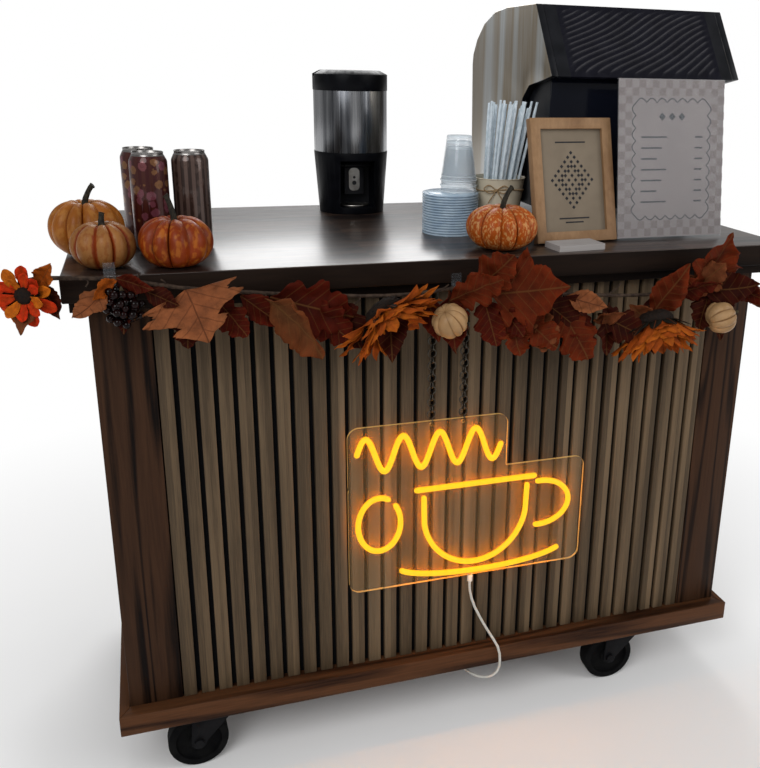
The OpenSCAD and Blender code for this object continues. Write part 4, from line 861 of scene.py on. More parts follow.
class CART_OT_leaves(CartOperator, bpy.types.Operator):
    """Hangs the garland's dyed leaves, folded and curled, along its vine"""

    bl_idname = "cart.leaves"
    bl_label = "Leaves"

    # Half widths of each kind along its length, both as shares of the length
    outlines = {
        "maple": ((0.00, 0.02), (0.05, 0.20), (0.09, 0.56), (0.13, 0.84), (0.19, 0.66), (0.27, 0.62), (0.36, 0.86),
                  (0.44, 0.72), (0.52, 0.44), (0.60, 0.30), (0.70, 0.46), (0.78, 0.40), (0.86, 0.20), (1.00, 0.00)),
        "broad": ((0.00, 0.015), (0.05, 0.10), (0.11, 0.34), (0.17, 0.40), (0.25, 0.27), (0.36, 0.40), (0.47, 0.52),
                  (0.54, 0.30), (0.64, 0.30), (0.73, 0.27), (0.80, 0.14), (1.00, 0.00)),
        "oak": ((0.00, 0.012), (0.08, 0.05), (0.16, 0.18), (0.25, 0.25), (0.32, 0.24), (0.38, 0.17), (0.46, 0.28),
                (0.54, 0.33), (0.61, 0.31), (0.66, 0.20), (0.74, 0.24), (0.82, 0.22), (0.88, 0.12), (0.95, 0.09),
                (1.00, 0.00)),
        "plain": ((0.00, 0.012), (0.08, 0.07), (0.22, 0.19), (0.40, 0.25), (0.58, 0.225), (0.78, 0.13), (0.92, 0.05),
                  (1.00, 0.00)),
    }

    # Fold at the rib and teeth along the edge of each kind
    folds = {"maple": 0.16, "broad": 0.16, "oak": 0.16, "plain": 0.26}
    teeth = {"maple": 22, "broad": 22, "oak": 9, "plain": 9}

    # Place along the counter, kind, length in millimetres, turn where 180 hangs down, tint, tilt, curl, roll,
    # and millimetres forward and down
    places = (
        (-0.522, "plain", 55, -38, "orange", 20, 0.5, -18, 10, 10),
        (-0.518, "plain", 58, -152, "dark", 14, 0.4, 8, 6, 4), (-0.530, "plain", 75, 172, "brown", 16, 0.5, 14, 4, 0),
        (-0.450, "plain", 75, 144, "tan", 24, 0.9, 34, 10, 8),
        (-0.438, "plain", 50, 111, "orange", 22, 0.7, -25, 9, -3),
        (-0.438, "plain", 55, -104, "red", 14, 0.4, 14, 5, -4), (-0.433, "plain", 75, 180, "dark", 8, 0.3, 10, 2, 0),
        (-0.409, "plain", 58, -116, "dark", 14, 0.5, -12, 7, 8), (-0.361, "oak", 78, 178, "dark", 10, 0.3, 14, 3, 8),
        (-0.362, "maple", 84, -160, "tan", 20, 0.30, 4, 16, -2),
        (-0.272, "plain", 150, -122, "olive", 22, 0.8, 36, 14, 4),
        (-0.265, "oak", 130, -105, "red", 12, -0.2, -10, 6, 4), (-0.115, "plain", 104, 180, "dark", 10, 0.3, 12, 2, 0),
        (-0.036, "plain", 104, 180, "red", 10, 0.4, -14, 2, 0), (-0.036, "oak", 98, -59, "rust", 16, 0.4, 12, 10, 16),
        (-0.007, "oak", 104, -42, "rust", 14, 0.4, -16, 8, 10), (0.021, "broad", 130, -84, "rust", 14, 0.30, -8, 18, 2),
        (0.031, "oak", 72, -142, "red", 20, 0.6, 12, 14, 18), (0.068, "oak", 84, -140, "rust", 22, 0.6, -12, 14, 36),
        (0.124, "oak", 106, -152, "rust", 22, 0.6, 12, 14, 26), (0.131, "plain", 76, -109, "tan", 22, 0.6, -15, 12, 0),
        (0.174, "plain", 60, -60, "brown", 20, 0.6, 18, 12, 42), (0.181, "oak", 92, -118, "dark", 14, 0.5, -12, 8, 30),
        (0.268, "plain", 104, 180, "dark", 8, 0.3, 12, 2, 0), (0.265, "plain", 114, -28, "rust", 14, 0.4, -20, 10, 34),
        (0.343, "broad", 118, -13, "rust", 12, 0.3, 12, 10, 6), (0.344, "plain", 112, -85, "dark", 18, 0.6, -20, 8, 8),
        (0.375, "plain", 104, 180, "dark", 8, 0.3, 8, 2, 0), (0.418, "plain", 60, -146, "brown", 18, 0.6, 18, 6, -10),
        (-0.300, "plain", 80, -128, "red", 10, -0.3, -14, 3, 4), (-0.330, "oak", 74, -140, "red", 12, 0.4, 10, 6, 10),
        (-0.345, "plain", 66, 150, "brown", 14, 0.5, -14, 5, 6), (-0.225, "oak", 96, -128, "red", 12, 0.4, 12, 5, 10),
        (-0.180, "oak", 84, -158, "dark", 12, 0.4, 10, 3, 4), (-0.065, "plain", 78, -168, "red", 14, 0.5, 12, 4, 4),
        (0.012, "oak", 84, -168, "red", 14, 0.5, 12, 8, 10), (0.050, "oak", 92, 178, "rust", 18, 0.6, -12, 10, 20),
        (0.088, "oak", 84, -172, "brown", 20, 0.6, 16, 10, 20), (0.098, "broad", 84, -128, "dark", 12, 0.3, 10, 5, 10),
        (0.150, "oak", 84, -176, "red", 16, 0.5, -14, 8, 16), (0.200, "plain", 92, 170, "dark", 10, 0.3, -10, 4, 10),
        (0.232, "plain", 80, -132, "brown", 18, 0.6, 14, 6, 14), (0.305, "plain", 84, -60, "red", 16, 0.5, 22, 6, 6),
        (0.322, "oak", 92, -40, "brown", 16, 0.5, -16, 5, 10), (0.365, "oak", 84, 155, "dark", 10, 0.3, 8, 3, 6),
        (0.395, "plain", 76, -105, "red", 20, 0.7, 24, 6, 4),
    )

    # Distance of the rearmost leaves from the vine's middle, and the cloth's thickness
    clear_of_vine = 0.004
    thickness = 0.0006

    def execute(self, context):
        full, pale = blade_mesh(), blade_mesh()
        for i, (share, kind, size, turn, tint, tilt, curl, roll, forward, drop) in enumerate(self.places):
            at = on_vine(share, self.clear_of_vine + forward / 1000, drop / 1000)
            place = moved(at) @ tilted(90, "X") @ tilted(turn, "Z") @ tilted(tilt, "X") @ tilted(roll, "Y")
            blade(pale if tint == "tan" else full, self.outlines[kind], size / 1000, place, TINTS[tint], curl=curl,
                  fold=self.folds[kind], wave=0.11, rows=40, columns=10, teeth=self.teeth[kind], seed=i * 1.7)
        dyed = cloth("leaf cloth", (0.105, 0.046, 0.014), 0.5, 7.0, 0.45, 0.0008, 0.04)
        hung("garland_leaf_cloth", full, dyed, self.thickness, ["garland_leaves"])
        straw = cloth("pale leaf cloth", (0.045, 0.014, 0.006), 0.7, 4.0, 0.5, 0.0010, 0.06)
        hung("garland_pale_leaves", pale, straw, self.thickness)
        return {"FINISHED"}


class CART_OT_flowers(CartOperator, bpy.types.Operator):
    """Makes the garland's flowers, with rows of petals around dark seed heads"""

    bl_idname = "cart.flowers"
    bl_label = "Flowers"

    # Half widths of a petal along its length, both as shares of the length
    lance = ((0.00, 0.05), (0.20, 0.10), (0.45, 0.185), (0.70, 0.165), (0.88, 0.085), (1.00, 0.00))
    spoon = ((0.00, 0.06), (0.25, 0.14), (0.55, 0.25), (0.80, 0.25), (0.94, 0.15), (1.00, 0.05))

    # Colours of petals and sepals at the rib and at the edge
    gold = (((0.190, 0.036, 0.004), (0.320, 0.078, 0.006)), ((0.150, 0.025, 0.003), (0.260, 0.052, 0.005)))
    scarlet = (((0.250, 0.026, 0.003), (0.440, 0.024, 0.004)), ((0.320, 0.070, 0.005), (0.420, 0.110, 0.006)),
               ((0.280, 0.022, 0.003), (0.460, 0.022, 0.004)))
    green = ((0.004, 0.004, 0.003), (0.010, 0.008, 0.005))

    # The seed head's radius as a share of the flower's, its height as a share of its radius, and where petals start
    core_share, core_height, petal_start = 0.30, 0.55, 0.55
    sepal_count, sepal_share, sepal_lift = 9, 0.62, 12
    thickness = 0.0005

    def bloom(self, petals, heads, middle, facing, radius, count, outline, tints, opens):
        """One flower that faces along a direction, with rows of petals of shares of its radius and lifts."""
        chance = random.Random(count + int(radius * 1e4))
        stand = moved(middle) @ Vector(facing).to_track_quat("Z", "Y").to_matrix().to_4x4()
        core = radius * self.core_share
        start = core * self.petal_start
        for row, (share, lift) in enumerate(opens):
            for i in range(count):
                turn = 2 * pi * (i + 0.5 * row + chance.uniform(-0.18, 0.18)) / count
                place = (stand @ Matrix.Rotation(turn, 4, "Z") @ moved((0, start, 0.002 * row))
                         @ tilted(lift + chance.uniform(-9, 9), "X"))
                blade(petals, outline, (radius - start) * share * chance.uniform(0.9, 1.06), place,
                      tints[(i + row) % len(tints)], curl=chance.uniform(-0.45, 0.5), fold=0.35, wave=0.06, rows=12,
                      columns=4, seed=chance.uniform(0, 90))
        ball = bmesh.ops.create_icosphere(heads, subdivisions=4, radius=1.0)["verts"]
        for v in ball:
            v.co *= 1 + 0.10 * noise.noise(v.co * 9) + 0.05 * noise.noise(v.co * 21)
        bmesh.ops.transform(heads, verts=ball, matrix=stand @ moved((0, 0, 0.002))
                            @ Matrix.Diagonal((core, core, core * self.core_height, 1)))
        return stand, core

    def execute(self, context):
        petals, heads, sepals = blade_mesh(), bmesh.new(), blade_mesh()
        n = self.sizes.petal_count
        flowers = ((on_vine(-0.533, 0.024, 0.014), (-0.35, -0.90, -0.05), 0.044, 9, self.spoon, self.scarlet,
                    ((1.0, 6), (0.82, 24))),
                   (on_vine(-0.130, 0.036, 0.014), (0.50, -0.42, -0.76), 0.100, n, self.lance, self.gold,
                    ((1.0, 22), (0.92, 32), (0.76, 44))),
                   (on_vine(0.262, 0.036, 0.034), (0.10, -0.30, -0.95), 0.104, n, self.lance, self.gold,
                    ((1.0, 36), (0.92, 44), (0.78, 54))))
        for middle, facing, radius, *kind in flowers:
            stand, core = self.bloom(petals, heads, middle, facing, radius, *kind)
            for i in range(self.sepal_count):
                place = (stand @ Matrix.Rotation(2 * pi * i / self.sepal_count, 4, "Z")
                         @ moved((0, core * 0.2, -0.003)) @ tilted(self.sepal_lift, "X"))
                blade(sepals, self.lance, radius * self.sepal_share, place, self.green, curl=0.5, fold=0.2, rows=8,
                      columns=4, seed=i * 3.1)
        kept_forward(heads)
        dyed = cloth("petal cloth", (0.25, 0.05, 0.01), 0.35, 0.5, 0.4, 0.0006, 0.05)
        seeds = cloudy("seed head", (0.003, 0.002, 0.0015), (0.014, 0.007, 0.004), scale=420, grit=900,
                       rough=(0.7, 0.9), bump=0.8)
        hung("garland_petals", petals, dyed, self.thickness, ["garland_flowers"])
        hung("garland_sepals", sepals, dyed, self.thickness)
        settle("garland_seed_heads", heads, seeds)
        return {"FINISHED"}


# A ribbed fruit: waver and sharpness of its grooves, its fullness, and depth and width of the dips at stem and foot
WAVER, GROOVE_EDGE, FULLNESS, STEM_DIP, FOOT_DIP = 0.35, 0.62, 0.74, (0.16, 0.5), (-0.08, 0.45)


def lobed(bm, width, height, lobes, groove, place, sides=108, rings=36):
    """A ribbed fruit: a ball pressed flat, with grooves from stem to foot and a dip at each end."""
    layer = bm.verts.layers.float.get("groove")
    made = bmesh.ops.create_uvsphere(bm, u_segments=sides, v_segments=rings, radius=1.0)["verts"]
    for v in made:
        angle = atan2(v.co.y, v.co.x)
        side = hypot(v.co.x, v.co.y)
        cut = 1 - abs(sin(lobes * angle / 2 + WAVER * sin(3 * angle))) ** GROOVE_EDGE
        reach = side ** FULLNESS
        lift = 0.5 + 0.5 * v.co.z
        deep, wide = STEM_DIP if v.co.z > 0 else FOOT_DIP
        dip = deep * max(0, 1 - reach / wide) ** 2
        v[layer] = cut
        drawn = width / 2 * reach * (1 - groove * cut * min(1, 1.6 * side))
        tall = height * (lift - dip) * (1 - 0.25 * groove * cut)
        v.co = Vector((drawn * cos(angle), drawn * sin(angle), tall))
    bmesh.ops.transform(bm, verts=made, matrix=place)


def groove_mesh():
    """An empty mesh with the layer that ribbed pieces carry."""
    bm = bmesh.new()
    bm.verts.layers.float.new("groove")
    return bm


# A stalk's rise and bend in shares of the whole, from its foot up, and its width along its length
STALK_COURSE = ((0.25, 0.06), (0.6, 0.35), (0.9, 0.75))
STALK_WIDTHS = ((0.0, 1.45), (0.2, 1.0), (0.6, 0.78), (0.85, 0.80), (0.93, 1.02), (1.0, 0.86))
STALK_ROOT = 0.006


def stalk(bm, foot, rise, bend, width):
    """A woody stalk that tapers, leans over and ends in a cut knob."""
    foot, bend = Vector(foot), Vector(bend)
    course = [foot + UP * up * rise + bend * over for up, over in STALK_COURSE]
    points = smooth_path([foot - UP * STALK_ROOT, *course, foot + UP * rise + bend])
    last = len(points) - 1
    return swept(bm, points, [width / 2 * across_table(STALK_WIDTHS, i / last) for i in range(last + 1)], 10)


class CART_OT_fruits(CartOperator, bpy.types.Operator):
    """Makes the garland's small gourds and berries, its vine and its clear hooks"""

    bl_idname = "cart.fruits"
    bl_label = "Gourds, berries and vine"

    # Place along the counter, drop, and turns about x and y of each gourd
    gourds = ((-0.041, 0.041, (24, 150)), (0.369, 0.055, (20, 70)))
    gourd_size = (0.058, 0.049)
    gourd_out = 0.036

    # Place along the counter, drop, number of berries and spread of each cluster
    clusters = ((-0.433, 0.033, 46, 0.029), (0.052, 0.060, 22, 0.017))
    cluster_out = 0.020
    cluster_depth = 0.62
    berry_radii = (0.0056, 0.0074)

    # Places of the side twigs along the counter
    twigs = (-0.47, -0.42, -0.385, -0.27, -0.21, -0.15, -0.05, 0.0, 0.08, 0.2, 0.3, 0.37)

    def hang_gourds(self, gourds, stalks):
        """The gourds, each with its stalk."""
        for share, drop, (lean, roll) in self.gourds:
            place = (moved(on_vine(share, self.gourd_out, drop)) @ tilted(lean, "X") @ tilted(roll, "Y")
                     @ moved((0, 0, -0.024)))
            lobed(gourds, *self.gourd_size, 9, 0.13, place, 72, 24)
            made = stalk(stalks, (0, 0, 0.044), 0.014, (0.004, 0.002, 0), 0.0065)
            bmesh.ops.transform(stalks, matrix=place, verts=made)

    def hang_berries(self, berries, stalks, chance):
        """The berry clusters, with a stalk to every third berry."""
        for share, drop, count, spread in self.clusters:
            middle = on_vine(share, self.cluster_out, drop)
            for i in range(count):
                tall, angle = 1 - 2 * (i + 0.5) / count, i * EVEN_TURN
                out = sqrt(1 - tall * tall)
                deep = spread * (0.45 + 0.55 * (i * 7 % 10) / 9)
                at = middle + deep * Vector((out * cos(angle), self.cluster_depth * out * sin(angle), tall))
                radius = chance.uniform(*self.berry_radii)
                made = bmesh.ops.create_icosphere(berries, subdivisions=2, radius=radius)["verts"]
                bmesh.ops.translate(berries, verts=made, vec=at)
                if i % 3 == 0:
                    swept(stalks, [middle + UP * spread, (middle + at) / 2, at], 0.0008, 5)

    def run_vine(self, vine, chance):
        """The knotty vine and its side twigs."""
        path = smooth_path([on_vine(share) for share, rise in VINE_SHARES])
        for i, p in enumerate(path):
            p += 0.0011 * Vector((0, noise.noise((i * 0.7, 3, 1)), noise.noise((i * 0.7, 9, 4))))
        swept(vine, path, [0.0030 + 0.0008 * noise.noise((i * 0.9, 0, 5)) for i in range(len(path))], 9)
        for share in self.twigs:
            foot = on_vine(share)
            lean = Vector((chance.uniform(-0.022, 0.022), -0.006,
                           chance.choice((-1, 1)) * chance.uniform(0.010, 0.022)))
            swept(vine, smooth_path([foot, foot + 0.5 * lean + Vector((0.003, 0, 0)), foot + lean], 3), 0.0012, 6)

    def execute(self, context):
        chance = random.Random(7)
        gourds, stalks, berries, vine = groove_mesh(), bmesh.new(), bmesh.new(), bmesh.new()
        self.hang_gourds(gourds, stalks)
        self.hang_berries(berries, stalks, chance)
        kept_forward(berries)
        self.run_vine(vine, chance)
        white = rind("gourd rind", (0.300, 0.176, 0.080), (0.350, 0.215, 0.104), (0.170, 0.084, 0.030), 0.7, 60.0, 0.40)
        bark = cloudy("vine bark", (0.018, 0.011, 0.008), (0.058, 0.038, 0.026), scale=160, grit=700,
                      rough=(0.75, 0.9), bump=0.7)
        stem = cloudy("stalk wood", (0.030, 0.022, 0.011), (0.070, 0.052, 0.026), scale=220, rough=(0.7, 0.85),
                      bump=0.6)
        wine = cloudy("berry skin", (0.0010, 0.0005, 0.0005), (0.0075, 0.0009, 0.0008), scale=90, rough=(0.10, 0.18),
                      gloss=0.12)
        settle("garland_gourds", gourds, white, ["garland_fruits"])
        settle("garland_stalks", stalks, stem)
        settle("garland_berries", berries, wine)
        settle("garland_twigs", vine, bark, ["garland_vine"])
        dressed("garland_hooks", cloudy("hook plastic", (0.40, 0.44, 0.48), (0.50, 0.54, 0.58), scale=60,
                                        rough=(0.08, 0.14), Alpha=0.05, gloss=0.05))
        return {"FINISHED"}


# Gear on the counter

class CART_OT_pumpkins(CartOperator, bpy.types.Operator):
    """Makes the four small pumpkins on the counter, each with its own skin and stalk"""

    bl_idname = "cart.pumpkins"
    bl_label = "Pumpkins"

    # Name, place, width and height in millimetres, lobes, turn, stalk's rise and bend, skin
    fruits = (
        ("amber", (-576, -147), (112, 86), 10, 0.3, 22, (15, -4),
         ((0.240, 0.074, 0.008), (0.320, 0.130, 0.026), (0.130, 0.022, 0.002), 0.7, 110.0, 0.36)),
        ("cream", (-550, -249), (92, 68), 9, 0.9, 13, (2, 2),
         ((0.225, 0.094, 0.026), (0.165, 0.043, 0.006), (0.150, 0.021, 0.002), 0.55, 190.0, 0.62)),
        ("russet", (-449, -260), (109, 75), 10, 0.1, 30, (-10, 4),
         ((0.165, 0.022, 0.0015), (0.290, 0.082, 0.009), (0.070, 0.008, 0.001), 0.8, 120.0, 0.36)),
        ("flecked", (77, -240), (121, 75), 10, 0.5, 28, (18, 4),
         ((0.310, 0.058, 0.004), (0.450, 0.210, 0.070), (0.165, 0.024, 0.0025), 0.95, 250.0, 0.30)),
    )

    # Depth of the grooves, where the stalk starts in its dip, and the rest, as shares of the width and height
    groove, dip, rest = 0.17, 0.84, 0.16
    stalk_width = 0.010

    def execute(self, context):
        stalks = bmesh.new()
        for i, (name, at, (width, height), lobes, turn, rise, bend, skin) in enumerate(self.fruits):
            foot = Vector((at[0], at[1], TOP_HIGH.z * 1000)) / 1000
            place = moved(foot) @ Matrix.Rotation(turn, 4, "Z")
            bm = groove_mesh()
            lobed(bm, width / 1000, height / 1000, lobes, self.groove, place)
            settle("pumpkin_" + name, bm, rind("rind " + name, *skin), [] if i else ["counter_pumpkins"])
            stalk(stalks, foot + UP * self.dip * height / 1000, self.rest * height / 1000 + rise / 1000,
                  Vector((*bend, 0)) / 1000, self.stalk_width)
        stem = cloudy("pumpkin stalk", (0.007, 0.006, 0.005), (0.032, 0.027, 0.018), scale=260, grit=800,
                      rough=(0.6, 0.8), bump=0.7)
        settle("pumpkin_stalks", stalks, stem)
        return {"FINISHED"}


class CART_OT_drinks(CartOperator, bpy.types.Operator):
    """Makes the printed drink cans, the clear cups and lids, and the pail of straws with its twine"""

    bl_idname = "cart.drinks"
    bl_label = "Cans, cups and straws"

    # Radius and height along each outline, in millimetres
    can = ((0.0, 4), (15.5, 3), (19.8, 0), (22, 1.2), (25.2, 5.5), (28.2, 9.5), (29, 12), (29, 140), (28.4, 143),
           (25, 150), (23.9, 151.6), (23.7, 153.4), (24, 154.6), (23.8, 156), (22.8, 156), (22.2, 152.6), (21.2, 151),
           (0.0, 151))
    cup = ((32.2, 0.0), (33.6, 0.0), (33.8, 0.8), (33.6, 1.6), (32.9, 1.7), (32.1, 7.5), (32.3, 8.6), (31.2, 14),
           (27, 45), (27.2, 46), (26.2, 51.5), (22.9, 77), (21.6, 79.6), (0, 80), (0, 79.2), (20.8, 79.0),
           (22.1, 76.4), (32.2, 0.0))
    pail = ((0, 0), (35.8, 0), (36.6, 0.8), (49.0, 96.2), (50.1, 96.6), (50.3, 97.6), (49.5, 98.2), (48.4, 97.6),
            (47.9, 96.4), (35.1, 2), (0, 2))

    # Place of each can in millimetres, its ground and two inks, and its shares of blooms and bands
    cans = (((-478.5, -131), (0.036, 0.004, 0.004), (0.122, 0.032, 0.044), (0.136, 0.058, 0.022), 1.0, 0.10),
            ((-414.5, -112), (0.026, 0.014, 0.011), (0.090, 0.054, 0.042), (0.115, 0.074, 0.060), 0.25, 0.65),
            ((-492, -60), (0.040, 0.005, 0.004), (0.130, 0.037, 0.048), (0.150, 0.067, 0.025), 1.0, 0.10))
    printed = (0.007, 0.1505)
    tab_height, tab_out, tab_long, tab_wide, tab_wire = 0.1525, 0.010, 0.0095, 0.0065, 0.0011

    # Place of the cups, rise from cup to cup, and heights of a cup's foot, bead and end
    cups_at, cup_rise = (0.059, -0.064), 0.010
    cup_foot, cup_bead, cup_end = 0.0017, (0.0074, 0.0087), 0.0775

    # The straws: spread of their feet, spread and lean of their tops, length and its play, radii along them
    pail_at = (0.143, -0.050)
    straw_out, straw_shift, straw_foot = 0.026, 0.006, 0.003
    straw_fan, straw_lean = (4.0, 3.4), (0.105, 0.03)
    straw_long, straw_play = 0.236, 0.016
    straw_radii = ((0.0, 0.0028), (0.5, 0.0028), (0.93, 0.0028), (0.965, 0.0022), (1.0, 0.0024))

    # The twine's ring and its bow: sideways and upward steps of a loop and of an end
    twine_r, twine_high, twine_sag, twine_wire, bow_wire = 0.0475, 0.0775, 0.002, 0.0011, 0.0010
    knot_r, knot_out, knot_turn, knot_high = 0.0026, 0.0490, 2.0, 0.078
    bow_loop = ((0.014, 0.009), (0.023, 0.002), (0.013, -0.005), (0, 0))
    bow_end = ((0.008, -0.012), (0.015, -0.024))

    def spun(self, outline, at):
        """A round body spun from an outline in millimetres about a standing axis."""
        bm = bmesh.new()
        verts = [bm.verts.new((at[0] + r / 1000, at[1], at[2] + z / 1000)) for r, z in outline]
        edges = [bm.edges.new(pair) for pair in zip(verts, verts[1:])]
        bmesh.ops.spin(bm, geom=verts + edges, cent=at, axis=UP, angle=2 * pi, steps=64, use_merge=True)
        bmesh.ops.remove_doubles(bm, verts=bm.verts, dist=MERGE)
        bmesh.ops.recalc_face_normals(bm, faces=bm.faces)
        return bm

    def make_cans(self):
        """Three cans, two with blooms and one with upright bands."""
        metal = cloudy("can metal", (0.17, 0.16, 0.155), (0.25, 0.24, 0.23), scale=80, rough=(0.22, 0.34), Metallic=1.0)
        for i, ((x, y), ground, first, second, blooms, bands) in enumerate(self.cans):
            at = Vector((x / 1000, y / 1000, TOP_HIGH.z))
            bm = self.spun(self.can, at)
            for face in bm.faces:
                high = face.calc_center_median().z - at.z
                face.material_index = 0 if self.printed[0] < high < self.printed[1] else 1
            ink = finish("can ink %d" % i, "Can print", {"Middle": at, "Ground": rgba(ground), "First": rgba(first),
                                                         "Second": rgba(second), "Blooms": blooms, "Bands": bands},
                         bump=0.03, Metallic=0.35, Coat_Weight=0.4)
            top = at + UP * self.tab_height
            loop = [top + Vector((self.tab_out + self.tab_long * cos(a), self.tab_wide * sin(a), 0))
                    for a in (k * pi / 8 for k in range(17))]
            tab = swept(bm, loop, self.tab_wire, 6)
            for face in {f for v in tab for f in v.link_faces}:
                face.material_index = 1
            settle("drink_can_%d" % (i + 1), bm, [ink, metal], [] if i else ["drink_cans"])

    def make_cups(self):
        """Clear cups upside down on their stack of lids."""
        clear = cloudy("cup plastic", (0.70, 0.80, 0.88), (0.80, 0.88, 0.94), scale=30, rough=(0.05, 0.12), Alpha=0.22,
                       gloss=0.8)
        film = cloudy("lid plastic", (0.42, 0.56, 0.70), (0.56, 0.70, 0.82), scale=45, rough=(0.10, 0.22), Alpha=0.62,
                      gloss=0.7)
        rim = cloudy("cup rim", (0.72, 0.80, 0.86), (0.84, 0.90, 0.94), scale=60, rough=(0.10, 0.2), Alpha=0.70)
        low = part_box("cup_stack")[0]
        for i in range(3):
            bm = self.spun(self.cup, Vector((*self.cups_at, low[2] + self.cup_rise * i)))
            for face in bm.faces:
                high = face.calc_center_median().z - low[2] - self.cup_rise * i
                bead = high < self.cup_foot or self.cup_bead[0] < high < self.cup_bead[1] or high > self.cup_end
                face.material_index = 1 if bead else 0
            settle("clear_cup_%d" % (i + 1), bm, [clear, rim], [] if i else ["cup_stack"])
        softened("lid_stack", film, 0.0005)

    def make_straws(self, at):
        """The wrapped straws, fanned out in the pail."""
        chance = random.Random(11)
        bm = bmesh.new()
        for i in range(self.sizes.straw_count):
            angle, out = i * EVEN_TURN, self.straw_out * sqrt((i + 0.5) / self.sizes.straw_count)
            foot = at + Vector((out * cos(angle) - self.straw_shift, out * sin(angle), self.straw_foot))
            lean = Vector((self.straw_fan[0] * out * cos(angle) + self.straw_lean[0],
                           self.straw_fan[1] * out * sin(angle) - self.straw_lean[1], 1)).normalized()
            long = self.straw_long - self.straw_play * chance.random()
            swept(bm, [foot + lean * long * t for t, r in self.straw_radii], [r for t, r in self.straw_radii], 8)
        paper = cloudy("straw sleeve", (0.54, 0.63, 0.69), (0.70, 0.78, 0.84), scale=120, grit=500, rough=(0.25, 0.45),
                       bump=0.3, Alpha=0.90)
        settle("wrapped_straws", bm, paper, ["straws"])

    def tie_twine(self, at):
        """The twine around the pail, with its bow."""
        bm = bmesh.new()
        ring = [at + Vector((self.twine_r * cos(a), self.twine_r * sin(a),
                             self.twine_high + self.twine_sag * sin(3 * a)))
                for a in (2 * pi * k / 48 for k in range(49))]
        swept(bm, ring, self.twine_wire, 6)
        turn = self.knot_turn
        knot = at + Vector((self.knot_out * cos(-turn), self.knot_out * sin(-turn), self.knot_high))
        side = Vector((sin(turn), cos(turn), 0))
        for s in (-1, 1):
            for steps in (self.bow_loop, self.bow_end):
                course = [knot + side * s * out + UP * up for out, up in steps]
                swept(bm, smooth_path([knot, *course]), self.bow_wire, 6)
        bead = bmesh.ops.create_icosphere(bm, subdivisions=2, radius=self.knot_r)["verts"]
        bmesh.ops.translate(bm, verts=bead, vec=knot)
        settle("pail_twine", bm, cloudy("twine", (0.230, 0.145, 0.070), (0.360, 0.245, 0.130), scale=500, grit=900,
                                        rough=(0.8, 0.95), bump=0.8))

    def execute(self, context):
        self.make_cans()
        self.make_cups()
        at = Vector((*self.pail_at, TOP_HIGH.z))
        enamel = cloudy("pail enamel", (0.48, 0.42, 0.31), (0.56, 0.50, 0.39), scale=14, grit=300, rough=(0.35, 0.5))
        settle("cream_pail", self.spun(self.pail, at), enamel, ["straw_pail"])
        self.make_straws(at)
        self.tie_twine(at)
        return {"FINISHED"}


